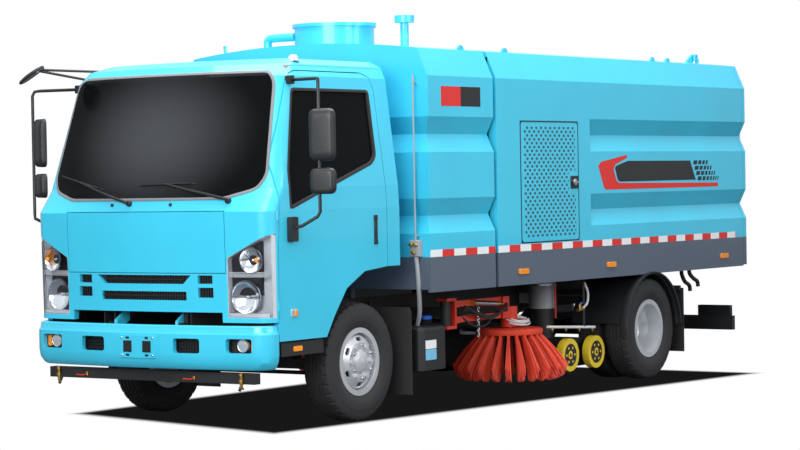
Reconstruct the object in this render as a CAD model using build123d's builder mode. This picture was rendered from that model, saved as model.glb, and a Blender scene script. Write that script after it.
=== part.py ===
"""Street sweeper truck: a tilt-cab chassis with a clean-water tank, a tipping
hopper, two side brushes and a suction nozzle.

Units are millimetres.  +X is forward, +Y is the truck's left, +Z is up.
The origin is on the ground, half way along and half way across the truck.
"""

import os
from math import cos, radians, sin

from build123d import *

# ---------------------------------------------------------------- overall sizes
body_width = 2160.0
cab_width = 2000.0
wheelbase = 3815.0
front_overhang = 1215.0
rear_overhang = 1670.0
running_gap = 5.0          # room round a piece that moves past another
seat_gap = 0.3             # room at a pin, a seat or a rest

overall_length = front_overhang + wheelbase + rear_overhang
front_axle_x = overall_length / 2 - front_overhang
rear_axle_x = front_axle_x - wheelbase

# ---------------------------------------------------------------- wheels
tyre_radius = 402.5
tyre_width = 215.0
rim_seat_radius = 203.0
rim_flange_radius = 230.7
rim_half_width = 89.0
rim_wall = 8.0
front_wheel_y = 834.0
rear_outer_wheel_y = 953.0
twin_spacing = 245.0
rear_inner_wheel_y = rear_outer_wheel_y - twin_spacing
stud_circle_radius = 111.0
stud_count = 6

# ---------------------------------------------------------------- chassis
rail_outer_y = 375.0
rail_flange = 65.0
rail_web = 7.0
rail_bottom = 590.0
rail_top = 790.0
rail_front_x = front_axle_x + 1110.0
rail_rear_x = rear_axle_x - 1435.0
kingpin_y = 740.0
kingpin_radius = 18.0
spindle_radius = 30.0

# ---------------------------------------------------------------- cab
cab_wall = 45.0
cab_bottom = 601.0
cab_rear_x = front_axle_x - 390.0
cab_floor_underside = 1045.0
foot_floor_underside = 850.0
cab_floor_thickness = 40.0
tilt_x = front_axle_x + 1110.0
tilt_z = 690.0
door_front_x = front_axle_x + 983.0
door_rear_x = front_axle_x - 238.0

# ---------------------------------------------------------------- body
tank_front_x = front_axle_x - 645.0
tank_rear_x = front_axle_x - 1487.0
hopper_front_x = front_axle_x - 1527.0
flute_front_x = front_axle_x - 2860.0
hopper_rear_x = rear_axle_x - 1610.0
rear_door_face_x = -overall_length / 2
body_bottom = 840.0
body_floor = 860.0
shoulder_z = 2346.0
eave_z = 2540.0
eave_inset = 85.0
crown_z = 2606.0
flute_depth = 59.0
flutes = [  # lower edge, valley, upper edge
    (1249.0, 1372.0, 1492.0),
    (1815.0, 1942.0, 2063.0),
]
body_wall = 70.0
roof_wall = 30.0
half_body = body_width / 2

os.makedirs("parts", exist_ok=True)


def save(builder, name):
    """Label a finished piece and write it as one STEP file."""
    builder.part.label = name
    export_step(builder.part, f"parts/{name}.step")


# ---------------------------------------------------------------- small helpers
def block(low, high, mode=Mode.ADD):
    """A box between two opposite corners."""
    size = [b - a for a, b in zip(low, high)]
    middle = [(a + b) / 2 for a, b in zip(low, high)]
    with Locations(tuple(middle)):
        Box(*size, mode=mode)


def rod(start, end, radius, mode=Mode.ADD):
    """A round bar from one point to another."""
    run = Vector(*end) - Vector(*start)
    with BuildSketch(Plane(origin=start, z_dir=run)) as face:
        Circle(radius)
    extrude(face.sketch, amount=run.length, mode=mode)


def side_plate(points, y_from, y_to, mode=Mode.ADD):
    """A plate whose outline lies in X and Z, from y_from to y_to."""
    with BuildSketch(Plane.XZ.offset(-y_from)) as face:
        Polygon(*points, align=None)
    extrude(face.sketch, amount=y_to - y_from, dir=(0, 1, 0), mode=mode)


def front_plate(points, x_from, x_to, mode=Mode.ADD):
    """A plate whose outline lies in Y and Z, from x_from to x_to."""
    with BuildSketch(Plane.YZ.offset(x_from)) as face:
        Polygon(*points, align=None)
    extrude(face.sketch, amount=x_to - x_from, dir=(1, 0, 0), mode=mode)


def bent_tube(points, radius, bend):
    """A round tube along straight runs joined by arcs of one radius."""
    with BuildLine() as route:
        FilletPolyline(*points, radius=bend)
    start = Vector(*points[0])
    run = Vector(*points[1]) - start
    with BuildSketch(Plane(origin=start, z_dir=run)) as face:
        Circle(radius)
    sweep(face.sketch, path=route.wires()[0])


def mirrored(builder):
    """The same piece on the other side of the truck."""
    with BuildPart() as other_side:
        mirror(builder.part, about=Plane.XZ)
    return other_side


# ---------------------------------------------------------------- wheels
def ring_about_axle(points, axle_x, wheel_y, mode=Mode.ADD):
    """Turn an outline of (offset along the axle, radius) points about the axle."""
    with BuildSketch(Plane.YZ.offset(axle_x)) as section:
        Polygon(*[(wheel_y + y, tyre_radius + r) for y, r in points], align=None)
    revolve(section.sketch, axis=Axis((axle_x, 0, tyre_radius), (0, 1, 0)), mode=mode)


def tyre_outline():
    """Half a tyre section, mirrored: bead, side wall, shoulder and tread."""
    half = tyre_width / 2
    bead = rim_half_width - 7
    right = [
        (bead, rim_seat_radius),
        (bead, rim_flange_radius + 0.5),
        (half - 12, rim_flange_radius + 14),
        (half, tyre_radius - 92),
        (half - 6, tyre_radius - 34),
        (half - 22, tyre_radius - 8),
        (half - 45, tyre_radius),
    ]
    left = [(-y, r) for y, r in reversed(right)]
    return right + left


def rim_outline():
    """A rim section: two flanges, two bead seats and a plain barrel."""
    flange = rim_half_width
    bead = rim_half_width - 7
    inside = rim_seat_radius - rim_wall
    return [
        (flange, inside), (flange, rim_flange_radius), (bead, rim_flange_radius),
        (bead, rim_seat_radius), (-bead, rim_seat_radius), (-bead, rim_flange_radius),
        (-flange, rim_flange_radius), (-flange, inside),
    ]


rim_inside = rim_seat_radius - rim_wall
hand_hole_radius = 152.0


def stud_ring(axle_x, face_y, out_y):
    """Six wheel studs with their nuts on the stud circle."""
    with BuildSketch(Plane(origin=(axle_x, face_y, tyre_radius), z_dir=(0, 1, 0))) as nuts:
        with PolarLocations(stud_circle_radius, stud_count, start_angle=30):
            RegularPolygon(17, 6)
    extrude(nuts.sketch, amount=out_y - face_y)


def hand_holes(axle_x, middle_y):
    """Six slotted holes through the disc, between the studs."""
    with BuildSketch(Plane(origin=(axle_x, middle_y, tyre_radius), z_dir=(0, 1, 0))) as slots:
        with PolarLocations(hand_hole_radius, stud_count):
            SlotOverall(56, 26, rotation=90)
    extrude(slots.sketch, amount=45, both=True, mode=Mode.SUBTRACT)


with BuildPart() as front_tyre_left:
    ring_about_axle(tyre_outline(), front_axle_x, front_wheel_y)

with BuildPart() as front_rim_left:
    ring_about_axle(rim_outline(), front_axle_x, front_wheel_y)
    ring_about_axle(
        [(20, rim_inside + 1), (36, rim_inside + 1), (70, 178), (96, 132), (96, 60),
         (84, 60), (84, 128), (58, 172)],
        front_axle_x, front_wheel_y)
    hand_holes(front_axle_x, front_wheel_y + 70)
    ring_about_axle(
        [(-30, spindle_radius + seat_gap), (-30, 78), (100, 78), (106, 72), (112, 50),
         (118, 0), (106, 0), (106, spindle_radius + seat_gap)],
        front_axle_x, front_wheel_y)
    stud_ring(front_axle_x, front_wheel_y + 96, front_wheel_y + 116)

with BuildPart() as rear_tyres_left:
    for wheel_y in (rear_inner_wheel_y, rear_outer_wheel_y):
        ring_about_axle(tyre_outline(), rear_axle_x, wheel_y)

rear_disc_y = (rear_inner_wheel_y + rear_outer_wheel_y) / 2
disc_thickness = 10.0
half_axle_radius = 45.0
with BuildPart() as rear_rims_left:
    for side, wheel_y in ((-1, rear_inner_wheel_y), (1, rear_outer_wheel_y)):
        ring_about_axle(rim_outline(), rear_axle_x, wheel_y)
        reach = side * (abs(wheel_y - rear_disc_y) - 40)
        ring_about_axle(
            [(reach, rim_inside + 1), (reach + side * 14, rim_inside + 1),
             (side * (disc_thickness + 16), 172), (side * disc_thickness, 140),
             (side * disc_thickness, 60), (0, 60), (0, 146), (side * 6, 176)],
            rear_axle_x, rear_disc_y)
    hand_holes(rear_axle_x, rear_disc_y)
    ring_about_axle(
        [(-150, half_axle_radius + seat_gap), (-150, 150), (-60, 150), (-60, 90),
         (60, 84), (74, 60), (80, 0), (64, 0), (64, half_axle_radius + seat_gap)],
        rear_axle_x, rear_disc_y)
    stud_ring(rear_axle_x, rear_disc_y + disc_thickness, rear_disc_y + disc_thickness + 24)

# ---------------------------------------------------------------- front axle and steering
boss_half_height = 55.0
boss_radius = 32.0
arm_back = 120.0
arm_half_width = 20.0
steering_pin_radius = 9.0
tie_rod_eye_radius = 18.0
tie_rod_z = tyre_radius - boss_half_height - 45

spring_y = rail_outer_y - rail_flange / 2
front_spring_half = 560.0
rear_spring_half = 620.0
leaf_thickness = 12.0
leaf_width = 70.0
front_pad_z = tyre_radius + 40
rear_pad_z = tyre_radius + 75

with BuildPart() as front_axle:
    block((front_axle_x - 40, -kingpin_y + 90, tyre_radius - 60),
          (front_axle_x + 40, kingpin_y - 90, tyre_radius + 10))
    for side in (-1, 1):
        side_plate(
            [(front_axle_x - 40, tyre_radius - boss_half_height),
             (front_axle_x + 40, tyre_radius - boss_half_height),
             (front_axle_x + 28, tyre_radius + boss_half_height),
             (front_axle_x - 28, tyre_radius + boss_half_height)],
            *sorted((side * (kingpin_y - 92), side * (kingpin_y - 10))))
        block((front_axle_x - 60, side * spring_y - 45, tyre_radius + 9),
              (front_axle_x + 60, side * spring_y + 45, front_pad_z))
        rod((front_axle_x, side * kingpin_y, tyre_radius - boss_half_height),
            (front_axle_x, side * kingpin_y, tyre_radius + boss_half_height), boss_radius)
    for side in (-1, 1):
        rod((front_axle_x, side * kingpin_y, tyre_radius - 80),
            (front_axle_x, side * kingpin_y, tyre_radius + 80),
            kingpin_radius + seat_gap, mode=Mode.SUBTRACT)

with BuildPart() as knuckle_left:
    rod((front_axle_x, kingpin_y, tyre_radius - 88), (front_axle_x, kingpin_y, tyre_radius + 88),
        kingpin_radius)
    for low in (-boss_half_height - 28, boss_half_height + seat_gap):
        block((front_axle_x - 30, kingpin_y - 30, tyre_radius + low),
              (front_axle_x + 30, kingpin_y + 58, tyre_radius + low + 28 - seat_gap))
    block((front_axle_x - 36, kingpin_y + 38, tyre_radius - boss_half_height - 28),
          (front_axle_x + 36, kingpin_y + 56, tyre_radius + boss_half_height + 28))
    rod((front_axle_x, kingpin_y + 50, tyre_radius),
        (front_axle_x, front_wheel_y + 104, tyre_radius), spindle_radius)
    side_plate(
        [(front_axle_x + 20, tie_rod_z + 18), (front_axle_x + 20, tie_rod_z + 36),
         (front_axle_x - arm_back - arm_half_width, tie_rod_z + 36),
         (front_axle_x - arm_back - arm_half_width, tie_rod_z + 18)],
        kingpin_y - arm_half_width, kingpin_y + arm_half_width)
    rod((front_axle_x - arm_back, kingpin_y, tie_rod_z - 14),
        (front_axle_x - arm_back, kingpin_y, tie_rod_z + 20), steering_pin_radius)

with BuildPart() as tie_rod:
    rod((front_axle_x - arm_back, -kingpin_y, tie_rod_z), (front_axle_x - arm_back, kingpin_y, tie_rod_z),
        14)
    for side in (-1, 1):
        rod((front_axle_x - arm_back, side * kingpin_y, tie_rod_z - 17),
            (front_axle_x - arm_back, side * kingpin_y, tie_rod_z + 17), tie_rod_eye_radius)
    for side in (-1, 1):
        rod((front_axle_x - arm_back, side * kingpin_y, tie_rod_z - 30),
            (front_axle_x - arm_back, side * kingpin_y, tie_rod_z + 30), steering_pin_radius + seat_gap,
            mode=Mode.SUBTRACT)

# ---------------------------------------------------------------- rear axle
differential_radius = 165.0
pinion_z = tyre_radius + 30
with BuildPart() as rear_axle:
    rod((rear_axle_x, -rear_disc_y + 152, tyre_radius), (rear_axle_x, rear_disc_y - 152, tyre_radius), 62)
    rod((rear_axle_x, -rear_disc_y - 60, tyre_radius), (rear_axle_x, rear_disc_y + 60, tyre_radius),
        half_axle_radius)
    with Locations((rear_axle_x, 0, tyre_radius)):
        Sphere(differential_radius)
    rod((rear_axle_x, 0, pinion_z), (rear_axle_x + 300, 0, pinion_z), 75)
    for side in (-1, 1):
        block((rear_axle_x - 60, side * spring_y - 45, tyre_radius + 20),
              (rear_axle_x + 60, side * spring_y + 45, rear_pad_z))


def spring_pack(axle_x, half_length, pad_z, leaves, rise):
    """A stack of curved leaves: each is an arc band, shorter than the one above."""
    for side in (-1, 1):
        for index in range(leaves):
            share = 1 - 0.22 * (leaves - 1 - index)
            half = half_length * share
            low = pad_z + leaf_thickness * index
            lift = rise * share * share
            with BuildSketch(Plane.XZ.offset(-(side * spring_y - leaf_width / 2))) as leaf:
                with BuildLine():
                    lower = ThreePointArc((axle_x - half, low + lift), (axle_x, low),
                                          (axle_x + half, low + lift))
                    upper = ThreePointArc((axle_x - half, low + lift + leaf_thickness),
                                          (axle_x, low + leaf_thickness),
                                          (axle_x + half, low + lift + leaf_thickness))
                    Line(lower @ 0, upper @ 0)
                    Line(lower @ 1, upper @ 1)
                make_face()
            extrude(leaf.sketch, amount=leaf_width, dir=(0, 1, 0))
        top = pad_z + leaf_thickness * (leaves - 1) + rise + leaf_thickness / 2
        for end in (-1, 1):
            rod((axle_x + end * half_length, side * spring_y - leaf_width / 2, top),
                (axle_x + end * half_length, side * spring_y + leaf_width / 2, top), 20)


front_leaves, front_rise = 3, 60.0
rear_leaves, rear_rise = 4, 40.0
with BuildPart() as leaf_springs:
    spring_pack(front_axle_x, front_spring_half, front_pad_z, front_leaves, front_rise)
    spring_pack(rear_axle_x, rear_spring_half, rear_pad_z, rear_leaves, rear_rise)

front_eye_z = front_pad_z + leaf_thickness * (front_leaves - 0.5) + front_rise
rear_eye_z = rear_pad_z + leaf_thickness * (rear_leaves - 0.5) + rear_rise

# ---------------------------------------------------------------- chassis frame
pivot_x = rear_axle_x - 1385.0
pivot_z = 830.0
pivot_pin_radius = 20.0
pivot_ear_radius = 28.0     # less than the way from the pin to the body floor
beam_end_radius = pivot_z - rail_top - 0.5
cylinder_base_x = rear_axle_x - 485.0
cylinder_base_z = 620.0
cylinder_eye_x = rear_axle_x + 815.0
cylinder_eye_z = 826.0
cylinder_y = 150.0
cylinder_radius = 50.0
piston_rod_radius = 30.0
ear_thickness = 14.0
cylinder_pin_radius = 16.0
eye_half_width = 24.0

brush_swing_x = front_axle_x - 1330.0
brush_axis_x = front_axle_x - 2200.0
brush_y = 740.0
swing_pin_radius = 20.0
swing_low, swing_high = 560.0, 740.0

cross_members = [  # x from the front axle, low z, high z
    (1000.0, 610.0, 680.0),
    (-650.0, 660.0, 770.0),
    (-1330.0, 660.0, 770.0),
    (-2300.0, 660.0, 770.0),
    (-wheelbase - 585.0, 590.0, 770.0),
    (-wheelbase - 1385.0, 610.0, 770.0),
]

with BuildPart() as chassis_frame:
    for side in (-1, 1):
        with BuildSketch(Plane.YZ.offset(rail_rear_x)):
            with Locations((side * (rail_outer_y - rail_flange / 2), (rail_bottom + rail_top) / 2)):
                Rectangle(rail_flange, rail_top - rail_bottom)
            with Locations((side * (rail_outer_y - rail_flange / 2 - rail_web),
                            (rail_bottom + rail_top) / 2)):
                Rectangle(rail_flange, rail_top - rail_bottom - 2 * rail_web, mode=Mode.SUBTRACT)
        extrude(amount=rail_front_x - rail_rear_x)
    for ahead, low, high in cross_members:
        block((front_axle_x + ahead - 30, -rail_outer_y + rail_web, low),
              (front_axle_x + ahead + 30, rail_outer_y - rail_web, high))
    for side in (-1, 1):
        # spring hangers
        for axle_x, half, eye_z in ((front_axle_x, front_spring_half, front_eye_z),
                                    (rear_axle_x, rear_spring_half, rear_eye_z)):
            for end in (-1, 1):
                x = axle_x + end * half
                for face in (-1, 1):
                    inner = side * spring_y + face * (leaf_width / 2)
                    outer = inner + face * 8
                    block((x - 26, min(inner, outer), eye_z - 24),
                          (x + 26, max(inner, outer), rail_bottom + 1))
                block((x - 26, side * spring_y - leaf_width / 2 - 8, rail_bottom - 8),
                      (x + 26, side * spring_y + leaf_width / 2 + 8, rail_bottom + 1))
        # rear tipping pivot ears and pins
        block((pivot_x - pivot_ear_radius, side * (rail_outer_y - 5) - 5, rail_top - 60),
              (pivot_x + pivot_ear_radius, side * (rail_outer_y - 5) + 5, pivot_z))
        rod((pivot_x, side * rail_outer_y, pivot_z), (pivot_x, side * (rail_outer_y - 10), pivot_z),
            pivot_ear_radius)
        rod((pivot_x, side * rail_outer_y, pivot_z), (pivot_x, side * (rail_outer_y - 70), pivot_z),
            pivot_pin_radius)
        # front tilt pivot ears
        block((tilt_x - 30, side * 300 - 12, rail_bottom), (tilt_x + 28, side * 300 + 12, tilt_z + 28))
        block((tilt_x - 60, side * 300 - 12, rail_bottom),
              (tilt_x - 28, side * 312 + 12, rail_top - rail_web))
        rod((tilt_x, side * 288, tilt_z), (tilt_x, side * 250, tilt_z), 14)
        # tipping cylinder base ears
        for face in (-1, 1):
            inner = side * cylinder_y + face * (eye_half_width + seat_gap)
            outer = inner + face * ear_thickness
            block((cylinder_base_x - 75, min(inner, outer), cylinder_base_z - 28),
                  (cylinder_base_x + 28, max(inner, outer), cylinder_base_z + 28))
        rod((cylinder_base_x, side * (cylinder_y - eye_half_width - 10), cylinder_base_z),
            (cylinder_base_x, side * (cylinder_y + eye_half_width + 10), cylinder_base_z),
            cylinder_pin_radius)
        # brush arm outriggers
        block((brush_swing_x - 35, min(side * (rail_outer_y - 3), side * (brush_y - 10)), 620),
              (brush_swing_x + 35, max(side * (rail_outer_y - 3), side * (brush_y - 10)), 690))
        rod((brush_swing_x, side * brush_y, swing_low), (brush_swing_x, side * brush_y, swing_high), 38)
        rod((brush_swing_x, side * brush_y, swing_low - 22),
            (brush_swing_x, side * brush_y, swing_high + 22), swing_pin_radius)

with BuildPart() as engine_block:
    block((front_axle_x - 380, -240, 520), (front_axle_x + 420, 240, 1000))
    block((front_axle_x - 900, -150, 540), (front_axle_x - 379, 150, 640))

gearbox_rear_x = front_axle_x - 900
gearbox_z = 595.0
pinion_x = rear_axle_x + 300
with BuildPart() as drive_shaft:
    rod((gearbox_rear_x, 0, gearbox_z), (gearbox_rear_x - 70, 0, gearbox_z), 45)
    rod((gearbox_rear_x - 60, 0, gearbox_z), (pinion_x + 60, 0, pinion_z), 38)
    rod((pinion_x + 70, 0, pinion_z), (pinion_x, 0, pinion_z), 45)

# ---------------------------------------------------------------- side tanks
with BuildPart() as urea_tank:
    block((front_axle_x - 986, 690, 290), (front_axle_x - 660, 985, 600))
    fillet(urea_tank.edges().filter_by(Axis.Z), radius=50)
    fillet(urea_tank.edges().group_by(Axis.Z)[-1], radius=30)
    rod((front_axle_x - 890, 840, 590), (front_axle_x - 890, 880, 640), 38)
    for ahead in (-760, -900):
        block((front_axle_x + ahead - 20, rail_outer_y, 440), (front_axle_x + ahead + 20, 700, 470))
        block((front_axle_x + ahead - 20, rail_outer_y, 440), (front_axle_x + ahead + 20, rail_outer_y + 10, 760))

with BuildPart() as fuel_tank:
    block((front_axle_x - 1240, -985, 330), (front_axle_x - 690, -560, 690))
    fillet(fuel_tank.edges().filter_by(Axis.X), radius=60)
    rod((front_axle_x - 800, -900, 680), (front_axle_x - 800, -930, 730), 36)
    for ahead in (-800, -1120):
        block((front_axle_x + ahead - 20, -600, 640), (front_axle_x + ahead + 20, -rail_outer_y, 670))
        block((front_axle_x + ahead - 20, -rail_outer_y - 10, 640),
              (front_axle_x + ahead + 20, -rail_outer_y, 760))

# ---------------------------------------------------------------- cab
cab_sections = [  # z, front at the middle, front at the side, half width, corner radius
    (cab_bottom, 1140.0, 1065.0, 1000.0, 100.0),
    (1440.0, 1162.0, 1085.0, 1000.0, 100.0),
    (1590.0, 1140.0, 960.0, 992.0, 110.0),
    (2320.0, 905.0, 760.0, 900.0, 110.0),
    (2400.0, 830.0, 690.0, 860.0, 110.0),
    (2440.0, 700.0, 570.0, 770.0, 110.0),
]


def cab_solid(inset, low=None):
    """The cab's outline in plan at each height, set in by one amount and lofted."""
    with BuildPart() as solid:
        for index, (z, middle, edge, half, corner) in enumerate(cab_sections):
            level = z
            if index == 0 and low is not None:
                level = low
            if index == len(cab_sections) - 1:
                level = z - inset
            width = half - inset
            rear = cab_rear_x + inset
            with BuildSketch(Plane.XY.offset(level)):
                with BuildLine():
                    nose = ThreePointArc((front_axle_x + edge - inset, -width),
                                         (front_axle_x + middle - inset, 0),
                                         (front_axle_x + edge - inset, width))
                    Polyline(nose @ 1, (rear, width), (rear, -width), nose @ 0)
                make_face()
                front_corners = [v for v in vertices() if v.X > rear + 100]
                fillet(front_corners, radius=corner - min(inset, 40))
        loft(ruled=True)
    return solid.part


cab_outer = cab_solid(0)
cab_inner = cab_solid(cab_wall)

door_outline = [
    (983, 601), (979, 1134), (940, 1760), (735, 2290), (690, 2335), (620, 2352),
    (-110, 2352), (-190, 2325), (-228, 2240), (-238, 1600), (-238, 1040),
    (28, 1017), (238, 912), (379, 740), (473, 601),
]
window_outline = [(700, 2235), (840, 1700), (845, 1450), (330, 1610), (-110, 1740), (-165, 1790),
                  (-165, 2235)]
windscreen_outline = [(-800, 1600), (-640, 1560), (640, 1560), (800, 1600), (770, 2270),
                      (700, 2310), (-700, 2310), (-770, 2270)]
panel_outline = [(-672, 1046), (672, 1046), (672, 1442), (-672, 1442)]
lamp_outline = [(684, 756), (1100, 756), (1100, 1330), (960, 1280), (684, 1142)]
arch_outline = [(473, 560), (473, 601), (379, 740), (238, 912), (28, 1017), (-238, 1040),
                (-500, 1040), (-500, 560)]
panel_depth = 22.0
panel_pocket = 28.0
glass_inset = 14.0
glass_thickness = 6.0
door_clearance = 6.0


def from_axle(points):
    """Shift an outline given from the front axle into the truck's own frame."""
    return [(front_axle_x + x, z) for x, z in points]


def prism_y(points, y_from, y_to, growth=0.0):
    """A tool solid: an X-Z outline, grown a little, run across the truck."""
    with BuildPart() as tool:
        with BuildSketch(Plane.XZ.offset(-y_from)):
            Polygon(*points, align=None)
            if growth:
                offset(amount=growth, kind=Kind.INTERSECTION)
        extrude(amount=y_to - y_from, dir=(0, 1, 0))
    return tool.part


def prism_x(points, x_from, x_to, growth=0.0):
    """A tool solid: a Y-Z outline, grown a little, run along the truck."""
    with BuildPart() as tool:
        with BuildSketch(Plane.YZ.offset(x_from)):
            Polygon(*points, align=None)
            if growth:
                offset(amount=growth, kind=Kind.INTERSECTION)
        extrude(amount=x_to - x_from)
    return tool.part


cabin_side = from_axle([
    (1400, foot_floor_underside + cab_floor_thickness), (560, foot_floor_underside + cab_floor_thickness),
    (430, cab_floor_underside + cab_floor_thickness), (-600, cab_floor_underside + cab_floor_thickness),
    (-600, 2600), (1400, 2600)])
under_side = from_axle([
    (1400, foot_floor_underside), (545, foot_floor_underside), (400, cab_floor_underside),
    (-600, cab_floor_underside), (-600, 500), (1400, 500)])
cabin_space = prism_y(cabin_side, -1200, 1200)
under_space = prism_y(under_side, -1200, 1200)
door_zone = prism_y(from_axle(door_outline), 600, 1100)
door_hole = prism_y(from_axle(door_outline), 600, 1100, growth=door_clearance)
window_zone = prism_y(from_axle(window_outline), 600, 1100)
windscreen_zone = prism_x(windscreen_outline, front_axle_x + 600, front_axle_x + 1300)
panel_zone = prism_x(panel_outline, front_axle_x + 900, front_axle_x + 1300)
panel_hole = prism_x(panel_outline, front_axle_x + 900, front_axle_x + 1300, growth=running_gap)
lamp_zone = prism_x(lamp_outline, front_axle_x + 1000, front_axle_x + 1300)
arch_zone = prism_y(from_axle(arch_outline), -1200, 1200)

with BuildPart() as cab_cavity:
    add(cab_inner)
    add(cabin_space, mode=Mode.INTERSECT)

with BuildPart() as cab_under:
    add(cab_solid(cab_wall, low=500.0))
    add(under_space, mode=Mode.INTERSECT)

cab_thin = cab_solid(glass_inset)
cab_thinner = cab_solid(glass_inset + glass_thickness)
cab_panel_back = cab_solid(panel_depth)
cab_panel_pocket = cab_solid(panel_pocket)

grille_slots = [  # lower z, upper z, half width at the top, half width at the bottom
    (973.0, 1030.0, 400.0, 338.0),
    (866.0, 923.0, 362.0, 362.0),
]
side_slots = [  # lower z, upper z, inner y, outer y
    (975.0, 1030.0, 455.0, 570.0),
    (885.0, 950.0, 455.0, 575.0),
]
slot_depth = 25.0
slot_floor = cab_solid(slot_depth)

with BuildPart() as slot_tool:
    for low, high, top_half, low_half in grille_slots:
        front_plate([(-low_half, low), (low_half, low), (top_half, high), (-top_half, high)],
                    front_axle_x + 900, front_axle_x + 1300)
    for side in (-1, 1):
        for low, high, inner, outer in side_slots:
            front_plate([(side * inner, low), (side * outer, low), (side * outer, high),
                         (side * inner, high)], front_axle_x + 900, front_axle_x + 1300)
    add(slot_floor, mode=Mode.SUBTRACT)

front_open_low = 790.0
front_open_half = 640.0
tilt_lug_y = 262.0

with BuildPart() as cab_shell:
    add(cab_outer)
    add(cab_cavity.part, mode=Mode.SUBTRACT)
    add(cab_under.part, mode=Mode.SUBTRACT)
    add(arch_zone, mode=Mode.SUBTRACT)
    # the nose stops above the bumper
    block((front_axle_x + 985, -1100, 500), (front_axle_x + 1300, 1100, 725), mode=Mode.SUBTRACT)
    block((front_axle_x + 900, -front_open_half, 500), (front_axle_x + 1300, front_open_half, front_open_low),
          mode=Mode.SUBTRACT)
    add(windscreen_zone, mode=Mode.SUBTRACT)
    add(slot_tool.part, mode=Mode.SUBTRACT)
    add(lamp_zone, mode=Mode.SUBTRACT)
    mirror(lamp_zone, about=Plane.XZ, mode=Mode.SUBTRACT)
    add(door_hole, mode=Mode.SUBTRACT)
    mirror(door_hole, about=Plane.XZ, mode=Mode.SUBTRACT)
    with BuildSketch(Plane.YZ.offset(cab_rear_x - 10)):
        with Locations((0, 1900)):
            RectangleRounded(1100, 380, 60)
    extrude(amount=80, mode=Mode.SUBTRACT)
    # tilt arms from the floor to the pivot
    for side in (-1, 1):
        side_plate(
            [(tilt_x + 24, tilt_z - 26), (tilt_x + 10, tilt_z + 40), (tilt_x - 180, foot_floor_underside + 2),
             (tilt_x - 320, foot_floor_underside + 2), (tilt_x - 24, tilt_z - 26)],
            side * tilt_lug_y - 12, side * tilt_lug_y + 12)
        rod((tilt_x, side * (tilt_lug_y - 30), tilt_z), (tilt_x, side * (tilt_lug_y + 30), tilt_z),
            14 + seat_gap, mode=Mode.SUBTRACT)

with BuildPart() as panel_cutter:
    add(cab_outer)
    add(cab_panel_pocket, mode=Mode.SUBTRACT)
    add(panel_hole, mode=Mode.INTERSECT)

# rubber stops in the pocket, which the closed panel rests on
with BuildPart() as panel_stops:
    for y in (-600, 600):
        for z in (1080, 1410):
            rod((front_axle_x + 900, y, z), (front_axle_x + 1300, y, z), 14)
    add(cab_solid(panel_depth + seat_gap), mode=Mode.INTERSECT)
    add(cab_solid(panel_pocket + 2), mode=Mode.SUBTRACT)

door_hinge_x = front_axle_x + 986.0
door_hinge_y = cab_width / 2 - 3
door_hinge_heights = (800.0, 1380.0)
hinge_half_height = 30.0
hinge_radius, hinge_pin_radius = 9.0, 5.0
leaf_reach = 45.0

with BuildPart() as hinge_pockets:
    for z in door_hinge_heights:
        rod((door_hinge_x, door_hinge_y, z - 1), (door_hinge_x, door_hinge_y, z + 2 * hinge_half_height + 1),
            hinge_radius + 1.5)
    mirror(hinge_pockets.part, about=Plane.XZ)

with BuildPart() as leaf_pockets:
    for z in door_hinge_heights:
        block((door_hinge_x - leaf_reach - 2, door_hinge_y - 10, z - 1),
              (door_hinge_x, cab_width / 2 + 2, z + hinge_half_height + 1))
    mirror(leaf_pockets.part, about=Plane.XZ)

with BuildPart() as cab_hinges:
    for z in door_hinge_heights:
        middle = z + hinge_half_height
        rod((door_hinge_x, door_hinge_y, middle + seat_gap),
            (door_hinge_x, door_hinge_y, z + 2 * hinge_half_height), hinge_radius)
        block((door_hinge_x, door_hinge_y - 8, middle + seat_gap),
              (door_hinge_x + 13, door_hinge_y + 2, z + 2 * hinge_half_height))
        rod((door_hinge_x, door_hinge_y, z), (door_hinge_x, door_hinge_y, z + 2 * hinge_half_height),
            hinge_pin_radius)
    mirror(cab_hinges.part, about=Plane.XZ)

with BuildPart() as door_hinges:
    for z in door_hinge_heights:
        middle = z + hinge_half_height
        rod((door_hinge_x, door_hinge_y, z), (door_hinge_x, door_hinge_y, middle), hinge_radius)
        block((door_hinge_x - leaf_reach, door_hinge_y - 8, z), (door_hinge_x, door_hinge_y + 2, middle))
        rod((door_hinge_x, door_hinge_y, z - 1), (door_hinge_x, door_hinge_y, middle + 1),
            hinge_pin_radius + seat_gap, mode=Mode.SUBTRACT)

with BuildPart() as finished_cab:
    add(cab_shell.part)
    add(panel_cutter.part, mode=Mode.SUBTRACT)
    add(panel_stops.part)
    add(hinge_pockets.part, mode=Mode.SUBTRACT)
    add(leaf_pockets.part, mode=Mode.SUBTRACT)
    add(cab_hinges.part)
cab_shell = finished_cab

with BuildPart() as front_panel:
    add(cab_outer)
    add(cab_panel_back, mode=Mode.SUBTRACT)
    add(panel_zone, mode=Mode.INTERSECT)

with BuildPart() as windscreen:
    add(cab_thin)
    add(cab_thinner, mode=Mode.SUBTRACT)
    add(windscreen_zone, mode=Mode.INTERSECT)

with BuildPart() as headlamps:
    add(cab_solid(2.0))
    add(cab_inner, mode=Mode.SUBTRACT)
    add(lamp_zone, mode=Mode.INTERSECT)
    mirror(headlamps.part, about=Plane.XZ)

with BuildPart() as cab_door_left:
    add(cab_outer)
    add(cab_solid(cab_wall, low=500.0), mode=Mode.SUBTRACT)
    add(door_zone, mode=Mode.INTERSECT)
    add(window_zone, mode=Mode.SUBTRACT)
    add(hinge_pockets.part, mode=Mode.SUBTRACT)
    add(door_hinges.part)

with BuildPart() as door_glass_left:
    add(cab_thin)
    add(cab_thinner, mode=Mode.SUBTRACT)
    add(window_zone, mode=Mode.INTERSECT)

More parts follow.
